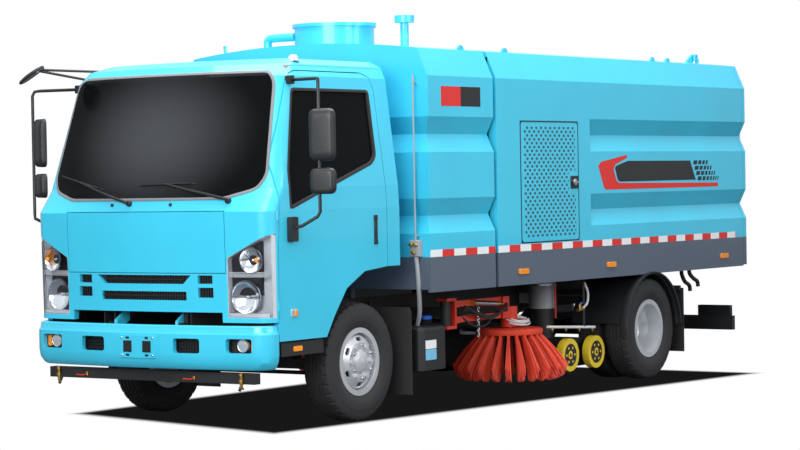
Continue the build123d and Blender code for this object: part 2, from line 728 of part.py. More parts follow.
# mirrors stand out from the door on a bent tube
mirror_x = front_axle_x + 820.0
mirror_tube_y = 1190.0
mirror_heads = [  # low z, high z, half width
    (1757.0, 2094.0, 105.0),
    (1543.0, 1712.0, 105.0),
]
with BuildPart() as mirrors_left:
    bent_tube([(front_axle_x + 740, 935, 2290), (mirror_x, mirror_tube_y, 2290),
               (mirror_x, mirror_tube_y, 1400), (front_axle_x + 880, 1006, 1330)], 11, 60)
    block((front_axle_x + 840, 1000, 1240), (front_axle_x + 905, 1040, 1400))
    block((front_axle_x + 720, 905, 2262), (front_axle_x + 772, 950, 2318))
    for low, high, half in mirror_heads:
        block((mirror_x - 22, mirror_tube_y - half + 50, low), (mirror_x + 22, mirror_tube_y + half + 50, high))

with BuildPart() as seats:
    for y in (-520, 520):
        block((front_axle_x - 250, y - 240, cab_floor_underside + cab_floor_thickness),
              (front_axle_x + 260, y + 240, 1250))
        side_plate([(front_axle_x - 250, 1250), (front_axle_x - 120, 1250),
                    (front_axle_x - 220, 1850), (front_axle_x - 330, 1850)], y - 230, y + 230)

with BuildPart() as dashboard:
    side_plate(from_axle([(1080, 900), (1080, 1500), (1040, 1520), (800, 1480), (760, 1300), (960, 900)]),
               -900, 900)
    add(cab_solid(cab_wall + seat_gap), mode=Mode.INTERSECT)
    rod((front_axle_x + 780, 480, 1380), (front_axle_x + 640, 480, 1500), 24)
    with BuildSketch(Plane(origin=(front_axle_x + 640, 480, 1500), z_dir=(-0.5, 0, 0.87))):
        Circle(215)
        Circle(185, mode=Mode.SUBTRACT)
        Rectangle(380, 30)
    extrude(amount=28)

# ---------------------------------------------------------------- bumper
bumper_low, bumper_high = 420.0, 708.0
bumper_wall = 45.0
plate_seat_x = front_axle_x + 1200.0
plate_hole_y, plate_hole_radius = 86.0, 5.0


def bumper_solid(inset):
    """The bumper's outline in plan, set in by one amount."""
    with BuildPart() as solid:
        with BuildSketch(Plane.XY.offset(bumper_low)):
            with BuildLine():
                nose = ThreePointArc((front_axle_x + 1124 - inset, -1000 + inset),
                                     (front_axle_x + front_overhang - inset, 0),
                                     (front_axle_x + 1124 - inset, 1000 - inset))
                Polyline(nose @ 1, (front_axle_x + 990, 1000 - inset),
                         (front_axle_x + 990, -1000 + inset), nose @ 0)
            make_face()
            front_corners = [v for v in vertices() if v.X > front_axle_x + 1000]
            fillet(front_corners, radius=120 - min(inset, 40))
        extrude(amount=bumper_high - bumper_low)
    return solid.part


with BuildPart() as front_bumper:
    add(bumper_solid(0))
    add(bumper_solid(bumper_wall), mode=Mode.SUBTRACT)
    # flat number-plate seat with its two bolt holes
    block((plate_seat_x, -150, 495), (front_axle_x + front_overhang + 1, 150, 635), mode=Mode.SUBTRACT)
    for side in (-1, 1):
        rod((plate_seat_x - 80, side * plate_hole_y, 565), (plate_seat_x + 1, side * plate_hole_y, 565),
            plate_hole_radius, mode=Mode.SUBTRACT)
    for side in (-1, 1):
        with BuildSketch(Plane.YZ.offset(front_axle_x + 1000)):
            with Locations((side * 400, 575)):
                RectangleRounded(200, 90, 20)
        extrude(amount=300, mode=Mode.SUBTRACT)
        with BuildSketch(Plane.YZ.offset(front_axle_x + 1085)):
            with Locations((side * 800, 579)):
                RectangleRounded(190, 90, 20)
        extrude(amount=300, mode=Mode.SUBTRACT)
        # stays back to the rails
        block((rail_front_x, side * 345 - 25, 600), (front_axle_x + 1180, side * 345 + 25, 660))

with BuildPart() as spray_bar:
    block((front_axle_x + 1040, -880, 330), (front_axle_x + 1100, 880, 400))
    for side in (-1, 1):
        block((front_axle_x + 1050, side * 345 - 20, 399), (front_axle_x + 1090, side * 345 + 20, rail_bottom))
        rod((front_axle_x + 1093, side * 775, 340), (front_axle_x + 1125, side * 775, 290), 10)

# ---------------------------------------------------------------- body shell
def flute_levels(low, high):
    """Heights and insets of the side wall: straight with V-shaped flutes."""
    levels = [(low, 0.0)]
    for lower, valley, upper in flutes:
        levels += [(lower, 0.0), (valley, flute_depth), (upper, 0.0)]
    return levels + [(high, 0.0)]


def side_profile(low, fluted):
    """The body's cross-section: sides, shoulders and an arched roof."""
    levels = flute_levels(low, shoulder_z) if fluted else [(low, 0.0), (shoulder_z, 0.0)]
    right = [(half_body - inset, z) for z, inset in levels]
    return right


def body_section(plane_x, length, low, fluted, inset=0.0):
    """Extrude the cross-section along X from plane_x, for one length."""
    right = [(y - inset, z) for y, z in side_profile(low, fluted)]
    left = [(-y, z) for y, z in reversed(right)]
    eave = half_body - eave_inset - inset
    top = eave_z - inset
    with BuildSketch(Plane.YZ.offset(plane_x)) as section:
        with BuildLine():
            arch = ThreePointArc((eave, top), (0, crown_z - inset), (-eave, top))
            Polyline(arch @ 1, *left, *right, arch @ 0)
        make_face()
    extrude(section.sketch, amount=length, dir=(1, 0, 0))


hopper_length = hopper_front_x - hopper_rear_x
cavity_half = half_body - body_wall

with BuildPart() as water_tank:
    levels = flute_levels(body_bottom, shoulder_z)
    for z, inset in levels:
        with BuildSketch(Plane.XY.offset(z)):
            Polygon((tank_rear_x, -half_body + inset), (tank_front_x - inset, -half_body + inset),
                    (tank_front_x - inset, half_body - inset), (tank_rear_x, half_body - inset),
                    align=None)
    loft(ruled=True)
    with BuildSketch(Plane.YZ.offset(tank_rear_x)):
        with BuildLine():
            arch = ThreePointArc((half_body - eave_inset, eave_z), (0, crown_z),
                                 (-half_body + eave_inset, eave_z))
            Polyline(arch @ 1, (-half_body, shoulder_z), (half_body, shoulder_z), arch @ 0)
        make_face()
    extrude(amount=tank_front_x - tank_rear_x)
    # inside
    block((tank_rear_x + 30, -cavity_half, body_floor + 40), (tank_front_x - body_wall, cavity_half, shoulder_z),
          mode=Mode.SUBTRACT)
    block((tank_rear_x + 30, -cavity_half + 90, shoulder_z - 1),
          (tank_front_x - body_wall, cavity_half - 90, eave_z - 20), mode=Mode.SUBTRACT)
    # underside is open between the skirts
    block((tank_rear_x - 1, -half_body + 22, body_bottom - 1), (tank_front_x + 1, half_body - 22, body_floor),
          mode=Mode.SUBTRACT)
    # manhole neck
    hatch_x = (tank_front_x + tank_rear_x) / 2 + 20
    rod((hatch_x, 0, eave_z - 40), (hatch_x, 0, 2740), 290)
    rod((hatch_x, 0, eave_z - 80), (hatch_x, 0, 2760), 270, mode=Mode.SUBTRACT)
    # feet on the rails
    for side in (-1, 1):
        block((tank_rear_x + 40, side * 340 - 30, rail_top), (tank_front_x - 40, side * 340 + 30, body_floor + 1))
    # vent stack with its cap, and lifting lugs
    vent_x, vent_y = front_axle_x - 930, 700
    rod((vent_x, vent_y, 2540), (vent_x, vent_y, 2740), 30)
    rod((vent_x, vent_y, 2740), (vent_x, vent_y, 2790), 70)

with BuildPart() as hatch_lid:
    rod((hatch_x, 0, 2740 + seat_gap), (hatch_x, 0, 2765), 305)
    block((hatch_x - 60, 290, 2740 + seat_gap), (hatch_x + 60, 330, 2765))

hinge_z = 2632.0
with BuildPart() as hopper:
    body_section(hopper_rear_x, hopper_length, body_bottom, fluted=True)
    # the front bay has flat sides
    front_plate([(-half_body, 1200), (half_body, 1200), (half_body, 2100), (-half_body, 2100)],
                flute_front_x, hopper_front_x)
    # front bay and hopper space, with a bulkhead between them
    for low_x, high_x in ((hopper_rear_x - 5, flute_front_x - 25), (flute_front_x + 15, hopper_front_x - 40)):
        block((low_x, -cavity_half, body_floor + 45), (high_x, cavity_half, shoulder_z), mode=Mode.SUBTRACT)
        front_plate([(-cavity_half, shoulder_z - 1), (cavity_half, shoulder_z - 1),
                     (cavity_half - 80, eave_z - 20), (-cavity_half + 80, eave_z - 20)],
                    low_x, high_x, mode=Mode.SUBTRACT)
    block((hopper_rear_x - 1, -half_body + 22, body_bottom - 1), (hopper_front_x + 1, half_body - 22, body_floor),
          mode=Mode.SUBTRACT)
    # beams that rest on the rails, with the pivot bores at the rear
    for side in (-1, 1):
        block((pivot_x, side * 335 - 25, rail_top + seat_gap),
              (hopper_front_x - 40, side * 335 + 25, body_floor + 1))
        rod((pivot_x, side * 310, pivot_z), (pivot_x, side * 360, pivot_z), beam_end_radius)
        rod((pivot_x, side * 280, pivot_z), (pivot_x, side * 380, pivot_z), pivot_pin_radius + seat_gap,
            mode=Mode.SUBTRACT)
        # ears for the tipping cylinders
        for face in (-1, 1):
            inner = side * cylinder_y + face * (eye_half_width + 2)
            outer = inner + face * ear_thickness
            block((cylinder_eye_x - 34, min(inner, outer), cylinder_eye_z - 26),
                  (cylinder_eye_x + 34, max(inner, outer), body_floor + 1))
    # service door opening
    block((front_axle_x - 2680 - running_gap, half_body - 30, 1146 - running_gap),
          (front_axle_x - 1850 + running_gap, half_body + 1, 2039 + running_gap), mode=Mode.SUBTRACT)
    block((front_axle_x - 2640, half_body - 100, 1190), (front_axle_x - 1890, half_body + 1, 1995),
          mode=Mode.SUBTRACT)
    for x in (-2660, -1870):
        for z in (1300, 1600, 1900):
            block((front_axle_x + x - 10, half_body - 31, z - 20),
                  (front_axle_x + x + 10, half_body - 22 - seat_gap, z + 20))
    # rear door hinge lugs on the roof
    for side in (-1, 1):
        side_plate([(hopper_rear_x + 120, 2540), (hopper_rear_x + 110, 2600), (hopper_rear_x + 20, hinge_z + 22),
                    (hopper_rear_x - 20, hinge_z + 22), (hopper_rear_x - 20, hinge_z - 22),
                    (hopper_rear_x + 10, 2590), (hopper_rear_x + 10, 2540)],
                   side * 620 - 10, side * 620 + 10)
        rod((hopper_rear_x, side * 600, hinge_z), (hopper_rear_x, side * 650, hinge_z), 12)

with BuildPart() as service_door:
    block((front_axle_x - 2680, half_body - 22, 1146), (front_axle_x - 1850, half_body, 2039))
    fillet(service_door.edges().filter_by(Axis.Y), radius=35)

with BuildPart() as rear_door:
    body_section(rear_door_face_x, hopper_rear_x - running_gap - rear_door_face_x, body_bottom + 10, fluted=True)
    for side in (-1, 1):
        block((rear_door_face_x + 20, side * 650 - 10, 2530), (hopper_rear_x - running_gap, side * 650 + 10, hinge_z - 12))
        block((hopper_rear_x - 22, side * 650 - 10, hinge_z - 24), (hopper_rear_x + 22, side * 650 + 10, hinge_z + 22))
        rod((hopper_rear_x, side * 630, hinge_z), (hopper_rear_x, side * 670, hinge_z), 12 + seat_gap,
            mode=Mode.SUBTRACT)

# ---------------------------------------------------------------- tipping cylinders
base_point = Vector(cylinder_base_x, 0, cylinder_base_z)
eye_point = Vector(cylinder_eye_x, 0, cylinder_eye_z)
cylinder_run = eye_point - base_point
cylinder_length = cylinder_run.length
along = cylinder_run.normalized()


def on_cylinder(distance, y):
    """A point on the cylinder's centre line, at one distance from its base pin."""
    point = base_point + along * distance
    return (point.X, y, point.Z)


barrel_end = cylinder_length - 120
with BuildPart() as tip_cylinder_barrels:
    for side in (-1, 1):
        y = side * cylinder_y
        rod((cylinder_base_x, y - eye_half_width, cylinder_base_z),
            (cylinder_base_x, y + eye_half_width, cylinder_base_z), 30)
        rod(on_cylinder(25, y), on_cylinder(62, y), 22)
        rod(on_cylinder(60, y), on_cylinder(barrel_end, y), cylinder_radius)
        rod(on_cylinder(110, y), on_cylinder(barrel_end + 5, y), piston_rod_radius + seat_gap,
            mode=Mode.SUBTRACT)
        rod((cylinder_base_x, y - 60, cylinder_base_z), (cylinder_base_x, y + 60, cylinder_base_z),
            cylinder_pin_radius + seat_gap, mode=Mode.SUBTRACT)

with BuildPart() as tip_cylinder_rods:
    for side in (-1, 1):
        y = side * cylinder_y
        rod(on_cylinder(130, y), on_cylinder(cylinder_length - 64, y), piston_rod_radius - 0.2)
        rod(on_cylinder(cylinder_length - 66, y), on_cylinder(cylinder_length - 18, y), 20)
        rod((cylinder_eye_x, y - eye_half_width, cylinder_eye_z),
            (cylinder_eye_x, y + eye_half_width, cylinder_eye_z), 30)

# ---------------------------------------------------------------- side brushes
arm_front_x = brush_swing_x - 110
arm_rear_x = brush_axis_x + 120
upper_arm_z, lower_arm_z = 715.0, 600.0
arm_pin_radius = 10.0
brush_radius = 443.0
brush_bottom = 110.0
plate_radius = 240.0
plate_low, plate_high = 452.0, 496.0
tuft_count = 24

with BuildPart() as brush_bracket_left:
    for low in (swing_low - 22, swing_high + seat_gap):
        block((arm_front_x + 28, brush_y - 45, low), (brush_swing_x + 45, brush_y + 45, low + 22 - seat_gap))
    block((arm_front_x + 28, brush_y - 45, swing_low - 22), (arm_front_x + 50, brush_y + 45, swing_high + 22))
    rod((brush_swing_x, brush_y, swing_low - 60), (brush_swing_x, brush_y, swing_high + 60),
        swing_pin_radius + seat_gap, mode=Mode.SUBTRACT)
    for z in (upper_arm_z, lower_arm_z):
        for face in (-1, 1):
            inner = brush_y + face * (25 + seat_gap)
            outer = inner + face * 12
            block((arm_front_x - 24, min(inner, outer), z - 24), (arm_front_x + 29, max(inner, outer), z + 24))
        rod((arm_front_x, brush_y - 32, z), (arm_front_x, brush_y + 32, z), arm_pin_radius)


def brush_arm(z):
    """One of the two equal arms that keep the brush level."""
    with BuildPart() as arm:
        block((arm_rear_x, brush_y - 20, z - 22), (arm_front_x, brush_y + 20, z + 22))
        for x in (arm_rear_x, arm_front_x):
            rod((x, brush_y - 25, z), (x, brush_y + 25, z), 22)
        for x in (arm_rear_x, arm_front_x):
            rod((x, brush_y - 40, z), (x, brush_y + 40, z), arm_pin_radius + seat_gap, mode=Mode.SUBTRACT)
    return arm


brush_upper_arm_left = brush_arm(upper_arm_z)
brush_lower_arm_left = brush_arm(lower_arm_z)

with BuildPart() as brush_carrier_left:
    for z in (upper_arm_z, lower_arm_z):
        for face in (-1, 1):
            inner = brush_y + face * (25 + seat_gap)
            outer = inner + face * 12
            block((arm_rear_x - 60, min(inner, outer), z - 24), (arm_rear_x + 24, max(inner, outer), z + 24))
        rod((arm_rear_x, brush_y - 32, z), (arm_rear_x, brush_y + 32, z), arm_pin_radius)
    block((arm_rear_x - 62, brush_y - 38, lower_arm_z - 26), (arm_rear_x - 40, brush_y + 38, upper_arm_z + 24))
    rod((brush_axis_x, brush_y, plate_high + 12), (brush_axis_x, brush_y, 660), 62)
    rod((brush_axis_x, brush_y, plate_low - 10), (brush_axis_x, brush_y, plate_high + 14), 25)

tuft_outline = [(195.0, plate_low + 1), (236.0, plate_low + 1), (brush_radius, 195.0),
                (brush_radius - 34, brush_bottom), (brush_radius - 100, brush_bottom)]
with BuildPart() as side_brush_left:
    rod((brush_axis_x, brush_y, plate_low), (brush_axis_x, brush_y, plate_high), plate_radius)
    rod((brush_axis_x, brush_y, plate_low - 20), (brush_axis_x, brush_y, plate_high + 20), 25 + seat_gap,
        mode=Mode.SUBTRACT)
    for index in range(tuft_count):
        turn = 360 / tuft_count * index
        with BuildSketch(Plane(origin=(brush_axis_x, brush_y, 0),
                               x_dir=(cos(radians(turn)), sin(radians(turn)), 0),
                               z_dir=(sin(radians(turn)), -cos(radians(turn)), 0))):
            Polygon(*tuft_outline, align=None)
        extrude(amount=11, both=True)

# ---------------------------------------------------------------- suction nozzle
nozzle_wheel_radius = 126.0
nozzle_wheel_z = 256.0
nozzle_wheels_x = (front_axle_x - 2778, front_axle_x - 3172)
nozzle_wheel_y = 900.0
nozzle_axle_radius = 14.0
nozzle_half = 830.0
nozzle_low, nozzle_high = 150.0, 370.0
duct_x = front_axle_x - 2975
duct_y = 560.0
duct_radius = 90.0
duct_top = body_bottom - running_gap

with BuildPart() as suction_nozzle:
    side_plate([(nozzle_wheels_x[1] - 60, nozzle_low), (nozzle_wheels_x[1] - 20, nozzle_high - 60),
                (nozzle_wheels_x[1] + 60, nozzle_high), (nozzle_wheels_x[0] - 60, nozzle_high),
                (nozzle_wheels_x[0] + 30, nozzle_high - 80), (nozzle_wheels_x[0] + 70, nozzle_low)],
               -nozzle_half, nozzle_half)
    side_plate([(nozzle_wheels_x[1] - 30, nozzle_low - 10), (nozzle_wheels_x[1] + 10, nozzle_high - 80),
                (nozzle_wheels_x[1] + 70, nozzle_high - 20), (nozzle_wheels_x[0] - 70, nozzle_high - 20),
                (nozzle_wheels_x[0], nozzle_high - 100), (nozzle_wheels_x[0] + 40, nozzle_low - 10)],
               -nozzle_half + 20, nozzle_half - 20, mode=Mode.SUBTRACT)
    for side in (-1, 1):
        for x in nozzle_wheels_x:
            rod((x, side * (nozzle_half - 10), nozzle_wheel_z), (x, side * (nozzle_wheel_y + 34), nozzle_wheel_z),
                nozzle_axle_radius)
        rod((duct_x, side * duct_y, nozzle_high - 22), (duct_x, side * duct_y, 800), duct_radius)
        rod((duct_x, side * duct_y, nozzle_high - 60), (duct_x, side * duct_y, duct_top + 10), duct_radius - 8,
            mode=Mode.SUBTRACT)

with BuildPart() as suction_ducts:
    for side in (-1, 1):
        rod((duct_x, side * duct_y, 600), (duct_x, side * duct_y, duct_top), duct_radius + 12)
        rod((duct_x, side * duct_y, 590), (duct_x, side * duct_y, duct_top + 10), duct_radius + seat_gap,
            mode=Mode.SUBTRACT)
        block((duct_x - 40, min(side * rail_outer_y, side * (duct_y - duct_radius - 6)), 640),
              (duct_x + 40, max(side * rail_outer_y, side * (duct_y - duct_radius - 6)), 720))


def nozzle_wheels(x):
    """The pair of support wheels on one axle line."""
    with BuildPart() as pair:
        for side in (-1, 1):
            y = side * nozzle_wheel_y
            rod((x, y - 28, nozzle_wheel_z), (x, y + 28, nozzle_wheel_z), nozzle_wheel_radius)
            rod((x, y - 40, nozzle_wheel_z), (x, y + 40, nozzle_wheel_z), nozzle_axle_radius + seat_gap,
                mode=Mode.SUBTRACT)
    return pair


nozzle_wheels_front = nozzle_wheels(nozzle_wheels_x[0])
nozzle_wheels_rear = nozzle_wheels(nozzle_wheels_x[1])

# ---------------------------------------------------------------- fenders and under-run bar
fender_radius = 438.0
with BuildPart() as rear_fenders:
    for side in (-1, 1):
        with BuildSketch(Plane.XZ.offset(-(side * 820 - 230))):
            with Locations((rear_axle_x, tyre_radius)):
                Circle(fender_radius + 6)
                Circle(fender_radius, mode=Mode.SUBTRACT)
            with Locations((rear_axle_x, tyre_radius - 250)):
                Rectangle(1200, 620, mode=Mode.SUBTRACT)
        extrude(amount=460, dir=(0, 1, 0))
        for x in (-300, 300):
            block((rear_axle_x + x - 20, min(side * rail_outer_y, side * 600), 700),
                  (rear_axle_x + x + 20, max(side * rail_outer_y, side * 600), 720))

under_run_x = rear_axle_x - 1665.0
with BuildPart() as under_run_bar:
    block((under_run_x, -961, 290), (under_run_x + 50, 961, 410))
    for side in (-1, 1):
        side_plate([(rail_rear_x + 200, rail_bottom), (rail_rear_x + 20, rail_bottom),
                    (under_run_x + 49, 400), (under_run_x + 49, 300), (under_run_x + 90, 300),
                    (rail_rear_x + 200, 520)], side * 350 - 10, side * 350 + 10)

with BuildPart() as mudflaps:
    for side in (-1, 1):
        block((front_axle_x - 545, side * 850 - 130, 135), (front_axle_x - 537, side * 850 + 130, 720))
        block((front_axle_x - 560, min(side * rail_outer_y, side * 960), 700),
              (front_axle_x - 545, max(side * rail_outer_y, side * 960), 740))
        block((rear_axle_x - 560, side * 830 - 230, 180), (rear_axle_x - 552, side * 830 + 230, 700))
        block((rear_axle_x - 552, min(side * rail_outer_y, side * 1040), 680),
              (rear_axle_x - 530, max(side * rail_outer_y, side * 1040), 720))

# ---------------------------------------------------------------- write every piece
single_pieces = {
    "chassis_frame": chassis_frame, "front_axle": front_axle, "rear_axle": rear_axle,
    "leaf_springs": leaf_springs, "engine_block": engine_block, "drive_shaft": drive_shaft,
    "tie_rod": tie_rod, "urea_tank": urea_tank, "fuel_tank": fuel_tank, "cab_shell": cab_shell,
    "windscreen": windscreen, "front_panel": front_panel, "headlamps": headlamps, "seats": seats,
    "dashboard": dashboard, "front_bumper": front_bumper, "spray_bar": spray_bar,
    "water_tank": water_tank, "hatch_lid": hatch_lid, "hopper": hopper,
    "service_door": service_door, "rear_door": rear_door,
    "tip_cylinder_barrels": tip_cylinder_barrels, "tip_cylinder_rods": tip_cylinder_rods,
    "suction_nozzle": suction_nozzle, "suction_ducts": suction_ducts,
    "nozzle_wheels_front": nozzle_wheels_front, "nozzle_wheels_rear": nozzle_wheels_rear,
    "rear_fenders": rear_fenders, "under_run_bar": under_run_bar, "mudflaps": mudflaps,
}
paired_pieces = {
    "knuckle": knuckle_left, "front_rim": front_rim_left, "front_tyre": front_tyre_left,
    "rear_rims": rear_rims_left, "rear_tyres": rear_tyres_left, "cab_door": cab_door_left,
    "door_glass": door_glass_left, "mirrors": mirrors_left, "brush_bracket": brush_bracket_left,
    "brush_upper_arm": brush_upper_arm_left, "brush_lower_arm": brush_lower_arm_left,
    "brush_carrier": brush_carrier_left, "side_brush": side_brush_left,
}
for name, piece in single_pieces.items():
    save(piece, name)
for name, piece in paired_pieces.items():
    save(piece, f"{name}_left")
    save(mirrored(piece), f"{name}_right")
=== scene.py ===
# %% [markdown]
# # A street sweeper truck
#
# The truck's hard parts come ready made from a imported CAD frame, in metres.  X points forward, Y to the
# truck's left and Z up.  This lesson gives those parts their finishes and adds what CAD leaves out: tread,
# bristles, lamps, rubber, tape and hoses.

import bmesh
import bpy
import numpy as np
from mathutils import Matrix


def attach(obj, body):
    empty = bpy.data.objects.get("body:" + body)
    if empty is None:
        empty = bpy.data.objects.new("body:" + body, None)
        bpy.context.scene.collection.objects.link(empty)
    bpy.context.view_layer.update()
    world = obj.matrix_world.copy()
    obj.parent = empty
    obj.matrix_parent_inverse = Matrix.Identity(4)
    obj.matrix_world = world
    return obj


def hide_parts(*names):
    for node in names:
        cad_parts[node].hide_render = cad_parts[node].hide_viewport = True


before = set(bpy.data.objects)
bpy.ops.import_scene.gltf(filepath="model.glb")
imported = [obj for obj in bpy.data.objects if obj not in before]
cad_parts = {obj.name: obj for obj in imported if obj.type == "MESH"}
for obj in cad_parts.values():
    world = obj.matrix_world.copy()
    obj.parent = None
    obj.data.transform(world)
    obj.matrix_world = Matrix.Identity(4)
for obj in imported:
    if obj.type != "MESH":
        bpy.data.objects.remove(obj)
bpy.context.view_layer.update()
FRONT_AXLE_X = 2.135

# %% [markdown]
# ## The camera
#
# A long lens keeps the truck's lines nearly parallel.  The camera stands 19 m away, off the left front
# corner and 1.6 m up.  Its axes could be set as Euler angles; they are worked out from a heading, a tilt
# and a roll instead, because a matrix built from axes can't be confused by the order of the angles.

# %% Camera
HEADING, TILT, ROLL = 0.6037, 0.019, -0.0177
CAMERA_PLACE = (15.7476, 10.66, 1.6388)

forward = np.array([-np.cos(HEADING) * np.cos(TILT), -np.sin(HEADING) * np.cos(TILT), -np.sin(TILT)])
level_right = np.array([-np.sin(HEADING), np.cos(HEADING), 0.0])
level_up = np.cross(level_right, forward)
camera_right = np.cos(ROLL) * level_right + np.sin(ROLL) * level_up
camera_up = np.cos(ROLL) * level_up - np.sin(ROLL) * level_right

camera_data = bpy.data.cameras.new("camera")
camera_data.lens, camera_data.sensor_width = 111.6, 36.0
camera = bpy.data.objects.new("camera", camera_data)
bpy.context.scene.collection.objects.link(camera)
axes = np.column_stack([camera_right, camera_up, -forward, CAMERA_PLACE])
camera.matrix_world = Matrix([*axes.tolist(), [0, 0, 0, 1]])
bpy.context.scene.camera = camera
print("camera distance", round(float(np.linalg.norm(CAMERA_PLACE)), 2), "m")

# %% [markdown]
# ## Shader nodes
#
# Finishes, the surround and the floor are all trees of nodes.  They could be wired up link by link, but a
# small function for each common step lets a whole formula stand on one line.

# %% Shader nodes
scene = bpy.context.scene
scene.view_settings.view_transform = "Standard"


def node(tree, kind, inputs=None, **settings):
    """Adds one shader node, and feeds its inputs from other sockets or from plain values."""
    made = tree.nodes.new("ShaderNode" + kind)
    for name, value in settings.items():
        setattr(made, name, value)
    for name, value in (inputs or {}).items():
        if isinstance(value, bpy.types.NodeSocket):
            tree.links.new(value, made.inputs[name])
        else:
            made.inputs[name].default_value = value
    return made


def maths(tree, operation, first, second=0.0):
    """One number worked out from two."""
    return node(tree, "Math", {0: first, 1: second}, operation=operation).outputs[0]


def spread(tree, value, low, high, out_low, out_high, **settings):
    """Stretches a number from one range to another and keeps it there."""
    return node(tree, "MapRange", {"Value": value, "From Min": low, "From Max": high, "To Min": out_low,
                                   "To Max": out_high}, **settings).outputs[0]


print("colours shown as", scene.view_settings.view_transform)

# %% [markdown]
# ## Lamps and surround
#
# A painted truck shows its shape by how much sky each panel sees.  Even light from all round would flatten
# it, so a bright ceiling lamp stands over a dimmer surround: panels that lean upwards turn pale, and those
# that lean under turn deep.  The background is white only to the camera and to rays through glass.

# %% Lamps and surround
def lamp(name, place, aim, size, power):
    """A rectangular lamp that points from its place at another point."""
    data = bpy.data.lights.new(name, "AREA")
    data.shape, data.size, data.size_y, data.energy = "RECTANGLE", size[0], size[1], power
    made = bpy.data.objects.new(name, data)
    scene.collection.objects.link(made)
    back = np.array(place, float) - np.array(aim, float)
    back /= np.linalg.norm(back)
    side = np.cross([0.0, 1.0, 0.0] if abs(back[2]) > 0.9 else [0.0, 0.0, 1.0], back)
    side /= np.linalg.norm(side)
    columns = np.column_stack([side, np.cross(back, side), back, place])
    made.matrix_world = Matrix([*columns.tolist(), [0, 0, 0, 1]])
    return made


lamp("ceiling", (0.5, 0.5, 8.0), (0, 0, 0), (11, 7), 1150)
lamp("front_fill", (9.5, 3.0, 3.6), (2.0, 0, 1.2), (5, 4), 520)
lamp("side_fill", (1.0, 10.0, 3.6), (-0.8, 0, 1.4), (8, 3), 300)

world = bpy.data.worlds.new("surround")
scene.world = world
world.use_nodes = True
sky = world.node_tree
sky.nodes.clear()
rays = node(sky, "LightPath")
seen = maths(sky, "MAXIMUM", rays.outputs["Is Camera Ray"], rays.outputs["Is Transmission Ray"])
around = node(sky, "Background", {"Color": (0.93, 0.97, 1.0, 1), "Strength": 0.62})
plain_white = node(sky, "Background", {"Color": (1, 1, 1, 1), "Strength": 1.0})
chosen = node(sky, "MixShader", {0: seen, 1: around.outputs[0], 2: plain_white.outputs[0]})
node(sky, "OutputWorld", {"Surface": chosen.outputs[0]})

# %% [markdown]
# ## The floor
#
# The floor is plain white to the camera, like the background.  A cast shadow would spread over all of it,
# so one soft dark patch is drawn under the truck instead: its edge is the greatest of four distances, each
# measured past a straight line.

# %% Floor
floor_mesh = bpy.data.meshes.new("floor")
floor_mesh.from_pydata([(-40, -40, 0), (40, -40, 0), (40, 40, 0), (-40, 40, 0)], [], [(0, 1, 2, 3)])
floor = bpy.data.objects.new("floor", floor_mesh)
scene.collection.objects.link(floor)
floor_finish = bpy.data.materials.new("pale_floor")
floor_finish.use_nodes = True
ground = floor_finish.node_tree
ground.nodes.clear()
floor_rays = node(ground, "LightPath")
spot = node(ground, "SeparateXYZ", {0: node(ground, "TexCoord").outputs["Object"]})


def beyond(x_part, y_part, start):
    """How far a floor point lies past a straight edge: x_part x + y_part y - start."""
    parts = [maths(ground, "MULTIPLY", spot.outputs[k], part) for k, part in enumerate((x_part, y_part))]
    return maths(ground, "SUBTRACT", maths(ground, "ADD", *parts), start)


edge = beyond(0.128, 0.992, 1.281)
for x_part, y_part, start in ((0.975, -0.223, 2.787), (-1.0, 0.0, 2.5), (0.0, -1.0, 1.3)):
    edge = maths(ground, "MAXIMUM", edge, beyond(x_part, y_part, start))
# Emission of 1 away from the truck and nearly 0 under it: a soft painted shadow.
white_but_painted_shadow = spread(ground, edge, -0.09, 0.06, 0.009, 1.0, interpolation_type="SMOOTHSTEP")
lifted = node(ground, "Emission", {"Color": (1, 1, 1, 1), "Strength": white_but_painted_shadow})
dim = node(ground, "BsdfDiffuse", {"Color": (0.12, 0.12, 0.13, 1)})
floor_mix = node(ground, "MixShader", {0: floor_rays.outputs["Is Camera Ray"], 1: dim.outputs[0],
                                       2: lifted.outputs[0]})
node(ground, "OutputMaterial", {"Surface": floor_mix.outputs[0]})
floor_mesh.materials.append(floor_finish)
print("floor shader nodes", len(ground.nodes))

# %% [markdown]
# ## Finishes
#
# Every finish starts from the same few ideas: a colour that drifts slowly over the surface, a roughness
# that drifts with it, and a fine bump.  They read Object coordinates, which are metres from the middle of
# the truck, so a pattern keeps its real size on every piece.


# %% Finish helpers
def linear(red, green, blue):
    """A screen colour of 0 to 255 as the linear colour that shaders use: ((c + 0.055) / 1.055) to 2.4."""
    levels = np.array([red, green, blue]) / 255
    return (*np.where(levels < 0.04045, levels / 12.92, ((levels + 0.055) / 1.055) ** 2.4).tolist(), 1.0)


def scaled(colour, amount):
    """A colour made darker or lighter by one factor."""
    return (*[min(1.0, c * amount) for c in colour[:3]], 1.0)


def noise(tree, where, scale, detail=3.0):
    """Smooth random numbers between 0 and 1."""
    return node(tree, "TexNoise", {"Vector": where, "Scale": scale, "Detail": detail}).outputs[0]


def blend_colour(tree, amount, first, second):
    """One colour where amount is 0 and another where it is 1."""
    return node(tree, "Mix", {0: amount, 6: first, 7: second}, data_type="RGBA").outputs[2]


